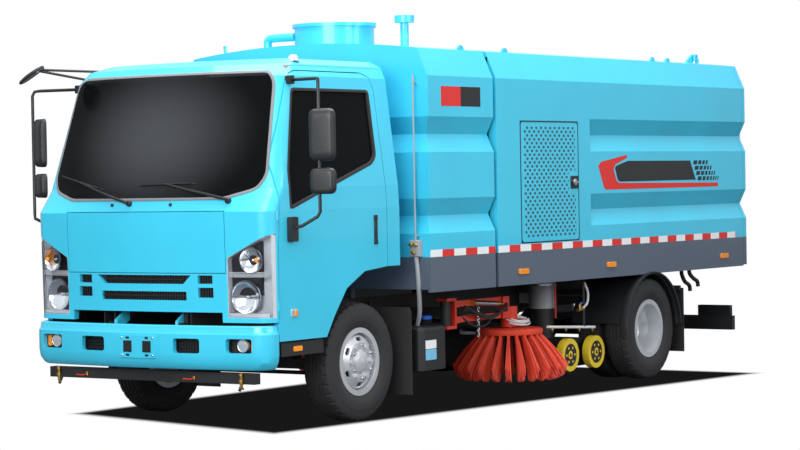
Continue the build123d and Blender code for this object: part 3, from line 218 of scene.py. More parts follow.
def finish(name, colour, roughness, metallic=0.0, drift=0.08, grain=120.0, bump=0.05, coat=0.0,
           recolour=None, **sockets):
    """A whole surface finish: drifting colour and roughness, and a fine bump.

    recolour, where given, takes the tree, the three coordinates and the colour so far, and returns the
    colour with its bands or patches added.
    """
    made = bpy.data.materials.new(name)
    made.use_nodes = True
    tree = made.node_tree
    tree.nodes.clear()
    where = node(tree, "TexCoord").outputs["Object"]
    slow = noise(tree, where, 2.3)
    shade = blend_colour(tree, spread(tree, slow, 0.3, 0.7, 0, 1), scaled(colour, 1 - drift),
                         scaled(colour, 1 + drift))
    if recolour:
        shade = recolour(tree, node(tree, "SeparateXYZ", {0: where}).outputs[:], shade)
    fine = noise(tree, where, grain, 2.0)
    inputs = {"Base Color": shade, "Metallic": metallic,
              "Roughness": spread(tree, slow, 0.25, 0.75, roughness * 0.85, min(1, roughness * 1.2)),
              "Coat Weight": coat, "Coat Roughness": 0.06}
    if bump:
        bumped = node(tree, "Bump", {"Strength": bump, "Distance": 0.002, "Height": fine})
        inputs["Normal"] = bumped.outputs[0]
    inputs.update({socket.replace("_", " "): value for socket, value in sockets.items()})
    surface = node(tree, "BsdfPrincipled", inputs)
    node(tree, "OutputMaterial", {"Surface": surface.outputs[0]})
    return made


print("half grey as a linear level", round(linear(128, 128, 128)[0], 3))

# %% [markdown]
# ## Shapes from arrays
#
# Each added piece is a list of points and a list of faces.  It could be modelled by hand, but a few families
# cover nearly all of it, and a formula keeps every piece exact.  Points are millimetres from the front
# axle's line, the drawing's own numbers.  A piece rides on one of the frame's bodies and moves with it.

# %% Points, faces and pieces
def metres(points):
    """Millimetres from the front axle's line to metres in the truck's frame: p / 1000 + (2.135, 0, 0)."""
    return np.asarray(points, float).reshape(-1, 3) / 1000 + [FRONT_AXLE_X, 0, 0]


def joined(*parts):
    """Several (points, faces) meshes as one: each mesh's faces count on from the points before it."""
    points, faces, start = [], [], 0
    for own_points, own_faces in parts:
        points.append(np.asarray(own_points, float))
        faces += [tuple(int(i) + start for i in face) for face in own_faces]
        start += len(own_points)
    return np.vstack(points), faces


def grid_faces(rows, columns, wrap_rows=False, wrap_columns=False):
    """Four-sided faces over rows x columns points, which close up along an axis where asked."""
    r = np.arange(rows if wrap_rows else rows - 1)[:, None]
    c = np.arange(columns if wrap_columns else columns - 1)[None, :]
    r2, c2 = (r + 1) % rows, (c + 1) % columns
    corners = [r * columns + c, r * columns + c2, r2 * columns + c2, r2 * columns + c]
    return np.stack([np.broadcast_to(q, (r.size, c.size)).ravel() for q in corners], axis=1)


def placed(name, shape):
    """A new mesh object in the scene, with its normals turned outward."""
    points, faces = shape
    mesh = bpy.data.meshes.new(name)
    mesh.from_pydata(np.asarray(points).tolist(), [], [tuple(int(i) for i in f) for f in faces])
    shell = bmesh.new()
    shell.from_mesh(mesh)
    bmesh.ops.recalc_face_normals(shell, faces=shell.faces)
    shell.to_mesh(mesh)
    shell.free()
    made = bpy.data.objects.new(name, mesh)
    scene.collection.objects.link(made)
    return made


def piece(name, shape, look, body, slot, smooth=30.0, bevel=0.0):
    """A named piece that rides on a body, shaded smooth up to an angle, with its edges bevelled if asked."""
    made = placed(name, shape)
    mesh = made.data
    if smooth:
        mesh.polygons.foreach_set("use_smooth", np.ones(len(mesh.polygons), bool))
        mesh.set_sharp_from_angle(angle=np.radians(smooth))
    for each in look if isinstance(look, list) else [look]:
        mesh.materials.append(each)
    if bevel:
        edge = made.modifiers.new("edges", "BEVEL")
        edge.width, edge.segments, edge.limit_method = bevel, 2, "ANGLE"
    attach(made, body)
    return made


print("a grid of 3 x 3 points has", len(grid_faces(3, 3)), "faces")

# %% [markdown]
# ### Tubes, rings and plates
#
# Pipes, caps and brackets could each start from a ready-made cylinder or cube, but those need scaling, and
# a scaled piece loses its real measures.  So a tube is swept along a line, a ring is turned about an axis,
# and a plate is an outline between two levels, with its corners rounded.

# %% Tubes, rings and plates
def frames_along(line):
    """Two unit vectors across a line at each of its points, carried along without twisting."""
    heading = np.gradient(line, axis=0)
    heading /= np.linalg.norm(heading, axis=1)[:, None]
    side = np.cross(heading[0], [0, 0, 1.0] if abs(heading[0][2]) < 0.9 else [0, 1.0, 0])
    sides = []
    for h in heading:
        side = side - h * side.dot(h)
        side /= np.linalg.norm(side)
        sides.append(side)
    sides = np.array(sides)
    return sides, np.cross(heading, sides)


def tube(points, radius, sides=10, closed=False):
    """A round tube along points: p + r (cos a u + sin a v), with u and v across the line."""
    line = metres(points)
    if closed:
        line = np.vstack([line[-1:], line, line[:1]])
    u, v = frames_along(line)
    if closed:
        line, u, v = line[1:-1], u[1:-1], v[1:-1]
    turn = np.linspace(0, 2 * np.pi, sides, endpoint=False)
    radii = np.broadcast_to(np.asarray(radius, float) / 1000, (len(line),))[:, None, None]
    ring = np.cos(turn)[None, :, None] * u[:, None] + np.sin(turn)[None, :, None] * v[:, None]
    shell = (line[:, None] + radii * ring).reshape(-1, 3)
    faces = grid_faces(len(line), sides, wrap_rows=closed, wrap_columns=True).tolist()
    if not closed:
        last = (len(line) - 1) * sides
        faces += [tuple(range(sides)), tuple(range(last, last + sides))]
    return shell, faces


def turned(outline, centre, axis=(0, 1, 0), steps=48):
    """A ring turned about an axis: c + s a + r (cos t u + sin t v) for each outline point (s, r)."""
    axis = np.array(axis, float) / np.linalg.norm(axis)
    u = np.cross(axis, [0, 0, 1.0] if abs(axis[2]) < 0.9 else [1.0, 0, 0])
    u /= np.linalg.norm(u)
    v = np.cross(axis, u)
    along, radius = np.array(outline, float).T / 1000
    t = np.linspace(0, 2 * np.pi, steps, endpoint=False)
    spokes = np.cos(t)[:, None] * u + np.sin(t)[:, None] * v
    points = metres(centre) + along[None, :, None] * axis + radius[None, :, None] * spokes[:, None, :]
    return points.reshape(-1, 3), grid_faces(steps, len(outline), True, True).tolist()


def plate(outline, low, high, across="y"):
    """A flat plate: an outline of (x, z), (y, z) or (x, y) points, between two levels across it."""
    flat = np.asarray(outline, float)
    count = len(flat)
    points = np.insert(np.vstack([flat, flat]), "xyz".index(across), np.repeat([low, high], count), axis=1)
    faces = [tuple(range(count)), tuple(range(count, 2 * count))]
    faces += [(i, (i + 1) % count, count + (i + 1) % count, count + i) for i in range(count)]
    return metres(points), faces


def rounded(outline, corner, steps=5):
    """The outline with each corner cut to an arc-like curve: (1-t)^2 a + 2t(1-t) p + t^2 b."""
    flat, made = np.asarray(outline, float), []
    for before, here, after in zip(np.roll(flat, 1, axis=0), flat, np.roll(flat, -1, axis=0)):
        ends = []
        for other in (before, after):
            run = other - here
            length = np.linalg.norm(run)
            ends.append(here + run / length * min(corner, length * 0.45))
        t = np.linspace(0, 1, steps)[:, None]
        made.append((1 - t) ** 2 * ends[0] + 2 * t * (1 - t) * here + t * t * ends[1])
    return np.vstack(made)


def box_outline(a_low, b_low, a_high, b_high, corner=6.0):
    """A rectangle with rounded corners, as an outline for plate."""
    return rounded([(a_low, b_low), (a_high, b_low), (a_high, b_high), (a_low, b_high)], corner, 4)


print("points round a box outline", len(box_outline(0, 0, 100, 50)))

# %% [markdown]
# ### Left and right
#
# Most of the truck is the same on both sides.  A mirror modifier would do, but each side often rides a body
# of its own, so the points are mirrored before the pieces are made.

# %% Left and right
def mirrored(shape):
    """The same shape on the other side of the truck."""
    points, faces = shape
    return np.asarray(points) * [1, -1, 1], faces


def both_sides(*shapes):
    """Some shapes and the same shapes on the other side, as one mesh."""
    own = joined(*shapes)
    return joined(own, mirrored(own))


def pair(name, shape, look, body, slot, stands_for="", **options):
    """Two pieces, name_left and name_right, the right one mirrored; a * in body or node becomes the side."""
    for side, own in (("left", shape), ("right", mirrored(shape))):
        made = piece(f"{name}_{side}", own, look, body.replace("*", side), slot, **options)
        if stands_for:
            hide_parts(stands_for.replace("*", side))
    return made


print("points in a mirrored plate", len(both_sides(plate(box_outline(0, 0, 100, 50), 0, 10))[0]))

# %% [markdown]
# ### Paint by place
#
# The cab and body are one sky blue, and the body's skirt is slate grey.  Their insides and undersides are
# darker: painted shade, and in the cab partly its trim.  They could be split off as pieces of their own, but
# one
# formula does it: the colour changes with how far a point lies under the skin, worked out from its
# coordinates.

# %% Paint by place
SKY_BLUE = linear(56, 194, 226)
SLATE = linear(84, 96, 112)
# Near black, for the painted shade inside the body and under its floor.
PAINTED_SHADE_BLACK = linear(26, 27, 29)
SKIRT_TOP = 1.085
HOLE_PITCH_X, HOLE_PITCH_Z = 0.0655, 0.0285
LINING = 1.012


def product(tree, *values):
    """All the values multiplied, from the left."""
    made = values[0]
    for value in values[1:]:
        made = maths(tree, "MULTIPLY", made, value)
    return made


def between(tree, value, low, high):
    """1 where low < value < high, and 0 elsewhere."""
    return product(tree, maths(tree, "GREATER_THAN", value, low), maths(tree, "LESS_THAN", value, high))


def squares(tree, first, second):
    """The sum of two squares."""
    return maths(tree, "ADD", product(tree, first, first), product(tree, second, second))


def body_bands_and_shade(tree, coordinates, shade):
    """Grey below the tape line; painted shade, near black, inside the body and under its floor."""
    x, y, z = coordinates
    wide = maths(tree, "LESS_THAN", maths(tree, "ABSOLUTE", y), LINING)
    dark = product(tree, wide, between(tree, x, -3.27, 1.40), maths(tree, "LESS_THAN", z, 2.50))
    return blend_colour(tree, dark, skirt_band(tree, coordinates, shade), PAINTED_SHADE_BLACK)


def skirt_band(tree, coordinates, shade):
    """Slate grey below the tape line."""
    return blend_colour(tree, maths(tree, "LESS_THAN", coordinates[2], SKIRT_TOP), shade, SLATE)


def punched(tree, coordinates, shade):
    """Staggered rows of round holes, dots of painted shade where the nearest grid point is close."""
    x, y, z = coordinates
    row = maths(tree, "DIVIDE", maths(tree, "SUBTRACT", z, 1.165), HOLE_PITCH_Z)
    odd = product(tree, maths(tree, "MODULO", maths(tree, "ROUND", row), 2.0), 0.5)
    column = maths(tree, "ADD", maths(tree, "DIVIDE", maths(tree, "ADD", x, 0.50), HOLE_PITCH_X), odd)
    off_x, off_z = [product(tree, maths(tree, "SUBTRACT", step, maths(tree, "ROUND", step)), pitch)
                    for step, pitch in ((column, HOLE_PITCH_X), (row, 1.5 * HOLE_PITCH_Z))]
    dot = maths(tree, "LESS_THAN", maths(tree, "SQRT", squares(tree, off_x, off_z)), 0.0165)
    field = product(tree, between(tree, x, -0.50, 0.235), between(tree, z, 1.185, 2.0))
    latch = product(tree, between(tree, x, -0.56, -0.40), between(tree, z, 1.50, 1.67))
    field = product(tree, field, maths(tree, "SUBTRACT", 1.0, latch))
    # Each hole is the blue paint at 0.16 of its level: painted shade.
    return blend_colour(tree, product(tree, dot, field), shade, scaled(SKY_BLUE, 0.16))


def cab_trim_and_shade(tree, coordinates, shade):
    """Dark deeper than the sheet metal (trim and painted shade) and under the cab's floor (painted shade)."""
    x, y, z = coordinates
    reach = maths(tree, "SUBTRACT", spread(tree, z, 1.59, 2.32, 0.992, 0.90), 0.034)
    inside = maths(tree, "LESS_THAN", maths(tree, "ABSOLUTE", y), reach)
    behind_front = maths(tree, "LESS_THAN", x, spread(tree, z, 1.44, 2.32, 3.13, 2.83))
    ahead_of_rear = maths(tree, "GREATER_THAN", x, FRONT_AXLE_X - 0.37)
    below_roof = maths(tree, "LESS_THAN", z, 2.39)
    deep = product(tree, product(tree, inside, behind_front), product(tree, ahead_of_rear, below_roof))
    return blend_colour(tree, deep, shade, linear(44, 45, 48))


def painted_windscreen_highlight(tree, coordinates, shade):
    """A faint painted highlight mid-windscreen: it falls off with the distance from a point on the glass."""
    off_y, off_z = [maths(tree, "DIVIDE", maths(tree, "SUBTRACT", value, middle), reach)
                    for value, middle, reach in ((coordinates[1], 0.02, 0.62), (coordinates[2], 1.93, 0.42))]
    soft = maths(tree, "POWER", spread(tree, squares(tree, off_y, off_z), 0.0, 1.8, 1.0, 0.0), 1.8)
    return blend_colour(tree, soft, shade, linear(62, 64, 67))


PLACES = [body_bands_and_shade, skirt_band, punched, cab_trim_and_shade, painted_windscreen_highlight]
print("colour formulas", len(PLACES))

# %% [markdown]
# ### Finishes
#
# Each finish is one call: colour, roughness, how far the colour drifts, and how fine and deep its grain is.
# An image for each could hold the same wear, but a formula has no seams and needs no unwrapping.

# %% Finishes
cab_paint = finish("cab_paint", SKY_BLUE, 0.34, drift=0.03, grain=260, bump=0.02, coat=0.6,
                   recolour=cab_trim_and_shade)
body_paint = finish("body_paint", SKY_BLUE, 0.38, drift=0.035, grain=260, bump=0.02, coat=0.45,
                    recolour=body_bands_and_shade)
door_paint = finish("perforated_paint", SKY_BLUE, 0.38, drift=0.03, grain=260, bump=0.02, coat=0.4,
                    recolour=punched)
rear_paint = finish("rear_door_paint", SKY_BLUE, 0.38, drift=0.035, grain=260, bump=0.02, coat=0.45,
                    recolour=skirt_band)
sky_paint = finish("sky_paint", SKY_BLUE, 0.36, drift=0.03, grain=260, bump=0.02, coat=0.5)
frame_paint = finish("frame_paint", linear(30, 31, 33), 0.55, drift=0.2, grain=90, bump=0.15)
black_plastic = finish("black_plastic", linear(29, 31, 34), 0.45, drift=0.12, grain=420, bump=0.12)
rubber = finish("rubber", linear(40, 40, 41), 0.72, drift=0.16, grain=260, bump=0.25)
lamp_tray = finish("lamp_tray", linear(196, 199, 204), 0.35, drift=0.05, grain=200, bump=0.05, coat=0.3)
pillar_rubber = finish("pillar_rubber", linear(120, 124, 128), 0.6, drift=0.1, grain=260, bump=0.1)
steel = finish("bright_steel", linear(196, 198, 202), 0.28, metallic=1.0, drift=0.06, grain=200, bump=0.04)
wheel_silver = finish("wheel_silver", linear(214, 217, 221), 0.33, metallic=0.55, drift=0.05, grain=180,
                      bump=0.06)
arm_red = finish("arm_red", linear(216, 58, 34), 0.42, drift=0.1, grain=160, bump=0.06, coat=0.2)
brush_red = finish("brush_red", linear(222, 66, 40), 0.55, drift=0.14, grain=240, bump=0.2)
duct_grey = finish("duct_grey", linear(158, 162, 168), 0.5, drift=0.1, grain=160, bump=0.08)
cast_iron = finish("cast_iron", linear(46, 46, 48), 0.7, drift=0.2, grain=60, bump=0.3)
brass = finish("brass", linear(206, 168, 92), 0.32, metallic=1.0, drift=0.08, grain=160, bump=0.05)
white_tape = finish("white_tape", linear(232, 234, 236), 0.42, drift=0.03, grain=900, bump=0.05)
red_tape = finish("red_tape", linear(214, 42, 36), 0.42, drift=0.05, grain=900, bump=0.05)
film_black = finish("black_film", linear(26, 28, 32), 0.4, drift=0.08, grain=300, bump=0.03)
amber = finish("amber_lens", linear(255, 150, 26), 0.2, drift=0.08, bump=0, coat=1.0)
red_lens = finish("red_lens", linear(214, 26, 22), 0.2, drift=0.08, bump=0, coat=1.0)
mirror_glass = finish("mirror_glass", linear(214, 218, 222), 0.05, metallic=1.0, drift=0.03, bump=0)
reflector = finish("reflector", linear(226, 229, 233), 0.14, metallic=1.0, drift=0.05, grain=60, bump=0.1)
clear_lens = finish("clear_lens", linear(246, 249, 252), 0.03, drift=0.02, bump=0, Transmission_Weight=1.0,
                    IOR=1.18)
cap_blue = finish("cap_blue", linear(36, 92, 190), 0.4, drift=0.08, grain=200, bump=0.06)
label_white = finish("label_white", linear(236, 238, 240), 0.5, drift=0.03, grain=300, bump=0.03)
label_blue = finish("label_blue", linear(120, 190, 226), 0.5, drift=0.05, grain=300, bump=0.03)
seat_cloth = finish("seat_cloth", linear(52, 54, 60), 0.9, drift=0.1, grain=900, bump=0.4)
nozzle_yellow = finish("wheel_yellow", linear(226, 196, 44), 0.5, drift=0.1, grain=160, bump=0.1)
# The windscreen's pane carries a faint painted highlight in its middle.
dark_glass = finish("dark_glass", linear(12, 13, 14), 0.08, drift=0.1, bump=0, Specular_IOR_Level=0.04,
                    recolour=painted_windscreen_highlight)
side_glass = finish("side_glass", linear(12, 14, 16), 0.08, drift=0.1, bump=0, Specular_IOR_Level=0.04)
lamp_glass = finish("lamp_glass", linear(200, 204, 208), 0.15, metallic=0.4, drift=0.05, bump=0, coat=1.0)
print("finishes", len(bpy.data.materials))

# %% [markdown]
# ### Dress the frame
#
# The frame's own meshes take a finish by name.  Their colours could be set one by one, but a table shows at a
# glance which parts share a paint.

# %% Dress the frame
NODE_FINISHES = {
    cab_paint: ["cab_shell", "front_panel", "cab_door_left", "cab_door_right"],
    body_paint: ["water_tank", "hopper"],
    rear_paint: ["rear_door"],
    door_paint: ["service_door"],
    sky_paint: ["hatch_lid", "front_bumper"],
    frame_paint: ["chassis_frame", "front_axle", "rear_axle", "leaf_springs", "engine_block", "drive_shaft",
                  "tie_rod", "spray_bar", "tip_cylinder_barrels", "suction_nozzle", "under_run_bar",
                  "fuel_tank"],
    duct_grey: ["suction_ducts"],
    black_plastic: ["urea_tank", "dashboard", "mirrors_left", "mirrors_right", "rear_fenders"],
    cast_iron: ["knuckle_left", "knuckle_right"],
    rubber: ["mudflaps", "front_tyre_left", "front_tyre_right", "rear_tyres_left", "rear_tyres_right"],
    steel: ["tip_cylinder_rods"],
    wheel_silver: ["front_rim_left", "front_rim_right", "rear_rims_left", "rear_rims_right"],
    arm_red: [f"{part}_{side}" for side in ("left", "right") for part in
                ("brush_bracket", "brush_upper_arm", "brush_lower_arm", "brush_carrier", "side_brush")],
    seat_cloth: ["seats"],
    nozzle_yellow: ["nozzle_wheels_front", "nozzle_wheels_rear"],
    dark_glass: ["windscreen"],
    side_glass: ["door_glass_left", "door_glass_right"],
    lamp_glass: ["headlamps"],
}
for look, names in NODE_FINISHES.items():
    for name in names:
        cad_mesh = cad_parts[name].data
        cad_mesh.materials.clear()
        cad_mesh.materials.append(look)
dressed = sum(len(names) for names in NODE_FINISHES.values())
print("nodes with a finish", dressed, "of", len(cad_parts))

# %% [markdown]
# ## Tyres
#
# A tyre is a ring turned from its section.  Its tread could be built from blocks, or cut by Booleans; here
# points are moved inward: four zigzag grooves run round it, short grooves cross each shoulder and thin
# cuts cross the middle.  All come from one formula for the depth, so no block has to be placed by hand.

# %% Tyres
TYRE_RADIUS, TREAD_HALF, GROOVE_DEPTH = 402.5, 80.0, 9.0
TYRE_STEPS = 216
REAR_AXLE = -3815.0


def tyre(centre_y, axle_x):
    """Tyre points at (angle, section): radius = section radius - depth x groove(angle, offset)."""
    wall = np.array([(80, 205), (82, 231.5), (92, 240), (98, 258), (101, 262), (105, 285), (107.3, 312),
                     (106.5, 338), (104, 344), (103, 360), (98, 378), (89, 392)])
    tread_y = np.linspace(TREAD_HALF, -TREAD_HALF, 41)
    tread_r = TYRE_RADIUS - 7.5 * (np.abs(tread_y) / TREAD_HALF) ** 4
    section = np.vstack([wall, np.column_stack([tread_y, tread_r]), wall[::-1] * [-1, 1]])
    turn = np.arange(TYRE_STEPS)
    offset, radius = section[:, 0][None, :], np.repeat(section[:, 1][None, :], TYRE_STEPS, axis=0)
    zigzag = 5 * (2 * np.abs((turn / 12) % 1 - 0.5) - 0.5)[:, None]
    rings = np.min([np.abs(offset - centre - zigzag) for centre in (-48, -16, 16, 48)], axis=0) < 3.4
    shoulder = (np.abs(offset) > 56) & ((turn % 6)[:, None] < 1) & (radius > 385)
    sipes = (np.abs(offset) < 56) & ((turn[:, None] + (offset // 32 * 3).astype(int)) % 6 == 0)
    cut = np.where(rings | shoulder, GROOVE_DEPTH, np.where(sipes, 3.0, 0.0))
    radius = radius - np.where(radius > 385, cut, 0)
    angle = turn[:, None] * 2 * np.pi / TYRE_STEPS
    points = np.stack([axle_x + radius * np.cos(angle), np.broadcast_to(centre_y + offset, radius.shape),
                       TYRE_RADIUS + radius * np.sin(angle)], axis=-1).reshape(-1, 3)
    return metres(points), grid_faces(TYRE_STEPS, len(section), True, True).tolist()


for side, sign in (("left", 1), ("right", -1)):
    front = piece(f"front_tyre_tread_{side}", tyre(sign * 834, 0), rubber, f"front_wheel_{side}",
                  "tyre_rubber")
    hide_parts(f"front_tyre_{side}")
    twin = joined(tyre(sign * 708, REAR_AXLE), tyre(sign * 953, REAR_AXLE))
    rear = piece(f"rear_tyre_treads_{side}", twin, rubber, f"rear_wheels_{side}", "tyre_rubber")
    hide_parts(f"rear_tyres_{side}")
print("tyre faces", len(front.data.polygons))

# %% [markdown]
# ## Side brushes
#
# A side brush is a plate with 24 combs of stiff plastic bristle.  Hair particles could make it, but they
# don't export as a mesh.  So each bristle is a thin three-sided rod from its place in the comb's row to its
# place on a sloping cut, and a little noise keeps the tips from lining up.

# %% Side brushes
COMBS, BRISTLES = 24, 78
BRUSH_X, BRUSH_Y = -2200.0, 740.0


def spun(shape, x, y, count):
    """Copies of a shape made at the origin, spun round the upright line at (x, y) in equal steps."""
    points, faces = shape
    centre = np.array([FRONT_AXLE_X, 0, 0])
    copies = []
    for angle in np.arange(count) * 2 * np.pi / count:
        cos, sin = np.cos(angle), np.sin(angle)
        turned_points = (points - centre) @ np.array([[cos, sin, 0], [-sin, cos, 0], [0, 0, 1]])
        copies.append((turned_points + centre + [x / 1000, y / 1000, 0], faces))
    return joined(*copies)


def bristles(seed):
    """Three-sided rods in five rings: p = (1-t) foot + t tip, bowed outward by sin(pi t)."""
    random = np.random.default_rng(seed)
    total = COMBS * BRISTLES
    comb = np.repeat(np.arange(COMBS), BRISTLES) * 2 * np.pi / COMBS
    share = np.tile(np.linspace(0, 1, BRISTLES), COMBS)
    wobble = random.normal(0, 1, (total, 3))
    foot_r = 196 + 40 * share + wobble[:, 0]
    tip_r = np.interp(share, [0, 0.35, 0.7, 1], [318, 352, 412, 443]) + 1.5 * wobble[:, 0] - 6
    tip_z = np.interp(share, [0, 0.35, 0.7, 1], [130, 112, 140, 218]) + 3 * np.abs(wobble[:, 2])
    row = random.uniform(-1, 1, total)
    t = np.linspace(0, 1, 5)[None, :]
    reach = foot_r[:, None] * (1 - t) + tip_r[:, None] * t + 9 * np.sin(np.pi * t)
    across = row[:, None] * (7 + 15 * t)
    height = 452 * (1 - t) + tip_z[:, None] * t
    x = BRUSH_X + reach * np.cos(comb)[:, None] - across * np.sin(comb)[:, None]
    y = BRUSH_Y + reach * np.sin(comb)[:, None] + across * np.cos(comb)[:, None]
    line = np.stack([x, y, height], axis=-1)
    turn = np.arange(3) * 2 * np.pi / 3
    ring = np.stack([np.cos(turn), np.sin(turn), 0 * turn], axis=-1) * 2.3
    points = (line[:, :, None, :] + ring[None, None]).reshape(-1, 3)
    one = grid_faces(5, 3, wrap_columns=True)
    faces = (one[None] + np.arange(total)[:, None, None] * 15).reshape(-1, 4)
    tips = np.arange(total)[:, None] * 15 + [12, 13, 14]
    return metres(points), faces.tolist() + tips.tolist()


plate_rim = turned([(452, 36), (452, 246), (462, 250), (486, 250), (496, 238), (496, 36)],
                   (BRUSH_X, BRUSH_Y, 0), (0, 0, 1), 72)
foot = plate(rounded([(186, -11), (244, -11), (244, 11), (186, 11)], 5, 3), 438, 453, "z")
combs = spun(foot, BRUSH_X, BRUSH_Y, COMBS)
pair("brush_bristles", bristles(4), brush_red, "side_brush_*", "brush_bristle", "side_brush_*")
pair("brush_plate", joined(plate_rim, combs), brush_red, "side_brush_*", "brush_bristle", "side_brush_*")
print("bristles a brush", COMBS * BRISTLES)

# %% [markdown]
# ## The cab's skin
#
# The cab's nose is a shallow bow with round corners, and it leans back above the belt.  Pieces that sit on
# it could be shrink-wrapped; a formula for the skin is more exact, and it gives the normal as well.

# %% The cab's skin
CAB_SECTIONS = np.array([  # z, front at the middle, front at the side, half width, corner radius
    (601, 1140, 1065, 1000, 100), (1440, 1162, 1085, 1000, 100), (1590, 1140, 960, 992, 110),
    (2320, 905, 760, 900, 110), (2400, 830, 690, 860, 110), (2440, 700, 570, 770, 110)], float)


def skin_x(y, z):
    """How far forward the cab's nose is at (y, z): a shallow bow, then a round corner of radius r."""
    y, z = np.abs(np.asarray(y, float)), np.asarray(z, float)
    middle, edge, half, corner = (np.interp(z, CAB_SECTIONS[:, 0], CAB_SECTIONS[:, k]) for k in (1, 2, 3, 4))
    corner_y = half - corner
    slope = 2 * (middle - edge) / half * (corner_y / half)
    stretch = np.sqrt(1 + slope**2)
    corner_x = middle - (middle - edge) * (corner_y / half) ** 2 - corner * stretch
    bow = middle - (middle - edge) * (y / half) ** 2
    turn = corner_x + np.sqrt(np.maximum(corner**2 - (y - corner_y) ** 2, 0))
    return np.where(y <= corner_y + corner * slope / stretch, bow, turn)


def skin(y, z, lift=0.0):
    """Points on the cab's nose at (y, z), moved out along its normal (1, -dx/dy, -dx/dz) by lift."""
    y, z = np.broadcast_arrays(np.asarray(y, float), np.asarray(z, float))
    x = skin_x(y, z)
    normal = np.stack([np.ones_like(x), -(skin_x(y + 1, z) - skin_x(y - 1, z)) / 2,
                       -(skin_x(y, z + 1) - skin_x(y, z - 1)) / 2], axis=-1)
    normal /= np.linalg.norm(normal, axis=-1)[..., None]
    return np.stack([x, y, z], axis=-1) + normal * np.asarray(lift, float)[..., None]


def side_y(x, z):
    """How wide the cab is at (x, z): its half width, less what the front corner takes off."""
    x, z = np.asarray(x, float), np.asarray(z, float)
    half = np.interp(z, CAB_SECTIONS[:, 0], CAB_SECTIONS[:, 3])
    trial = half[..., None] - np.linspace(0, 1, 160) * 185
    reach = skin_x(trial, z[..., None])
    found = np.take_along_axis(trial, np.argmax(reach >= x[..., None], axis=-1)[..., None], axis=-1)[..., 0]
    return np.where(reach[..., 0] >= x, half, found)


print("cab nose at the middle", float(skin_x(0, 1046)), "mm ahead of the front axle")

# %% [markdown]
# ### Laying shapes on a surface
#
# Rubber, lamps and grille bars follow a curved skin.  Each is a flat drawing, laid on the surface's formula
# and given a thickness along its normal, so it can't float off or sink in, as a piece placed by eye can.

# %% Laying shapes on a surface
def rim_of(grid):
    """The values round the edge of a grid, in order: along the top, down, back and up."""
    return np.concatenate([grid[0], grid[1:, -1], grid[-1, -2::-1], grid[-2:0:-1, 0]])


def shut(low, high):
    """Two sheets of points on the same grid as one closed skin: both sheets, and walls round their edge."""
    rows, columns = low.shape[:2]
    under, count = grid_faces(rows, columns), rows * columns
    edge = rim_of(np.arange(count).reshape(rows, columns))
    walls = np.stack([edge, np.roll(edge, -1), np.roll(edge, -1) + count, edge + count], axis=1)
    return metres(np.stack([low, high])), np.concatenate([under, under + count, walls]).tolist()


def surface(across, axis="x", sign=1):
    """A surface to lay shapes on: the axis's coordinate is across(a, b), or one level, plus sign x lift."""
    def place(a, b, lift):
        """The point on the surface at a, b, raised by lift."""
        a, b = np.broadcast_arrays(np.asarray(a, float), np.asarray(b, float))
        level = across(a, b) if callable(across) else np.full(a.shape, float(across))
        level = level + sign * lift
        return np.stack([a, level, b] if axis == "y" else [level, a, b], axis=-1)
    return place


def slab(place, a, b, low, high):
    """A sheet over a grid of surface places (a, b), from lift low to lift high, closed at its edges."""
    a, b = np.broadcast_arrays(np.asarray(a, float), np.asarray(b, float))
    return shut(place(a, b, low), place(a, b, high))


def pad(place, a_low, a_high, b_low, b_high, low, high):
    """A slab over one rectangle of a surface."""
    return slab(place, [[a_low, a_high]] * 2, [[b_low] * 2, [b_high] * 2], low, high)


def resampled(outline, spacing=35.0):
    """The closed outline with extra points, so that no side is longer than the spacing."""
    flat, out = np.asarray(outline, float), []
    for here, after in zip(flat, np.roll(flat, -1, axis=0)):
        count = max(1, int(np.ceil(np.linalg.norm(after - here) / spacing)))
        out += [here + (after - here) * k / count for k in range(count)]
    return np.array(out)


def gasket(place, outline, inward, outward, sunk, proud):
    """A strip round a closed outline: offset by its normal on both sides, and lifted on the surface."""
    flat = resampled(outline)
    run = np.roll(flat, -1, axis=0) - np.roll(flat, 1, axis=0)
    area = np.sum(flat[:, 0] * np.roll(flat[:, 1], -1) - flat[:, 1] * np.roll(flat[:, 0], -1))
    out = np.column_stack([run[:, 1], -run[:, 0]]) * np.sign(area)
    out /= np.linalg.norm(out, axis=1)[:, None]
    corners = [(outward, sunk), (outward, proud * 0.6), (outward - 5, proud), (-inward + 5, proud),
               (-inward, proud * 0.6), (-inward, sunk)]
    rows = [place(*(flat + out * offset).T, lift) for offset, lift in corners]
    return metres(np.stack(rows)), grid_faces(len(rows), len(flat), True, True).tolist()


def ribs(place, places, low_b, high_b, width, low, high):
    """Upright bars on a surface, one at each place along a."""
    return joined(*[pad(place, a - width / 2, a + width / 2, low_b, high_b, low, high) for a in places])


on_door = surface(side_y, "y")
on_door_face = surface(1000, "y")
print("cab's width at the belt", 2 * float(side_y(200, 1440)), "mm")

# %% [markdown]
# ### Windscreen, door windows, handles and steps
#
# The windscreen is bonded: a dark pane overlaps its opening, with a grey rubber strip round it.  A flat pane
# would cut through the bow, so the pane is a grid of points on the skin.  The door windows get rubber lips,
# and the handles, steps and treads are small blocks.

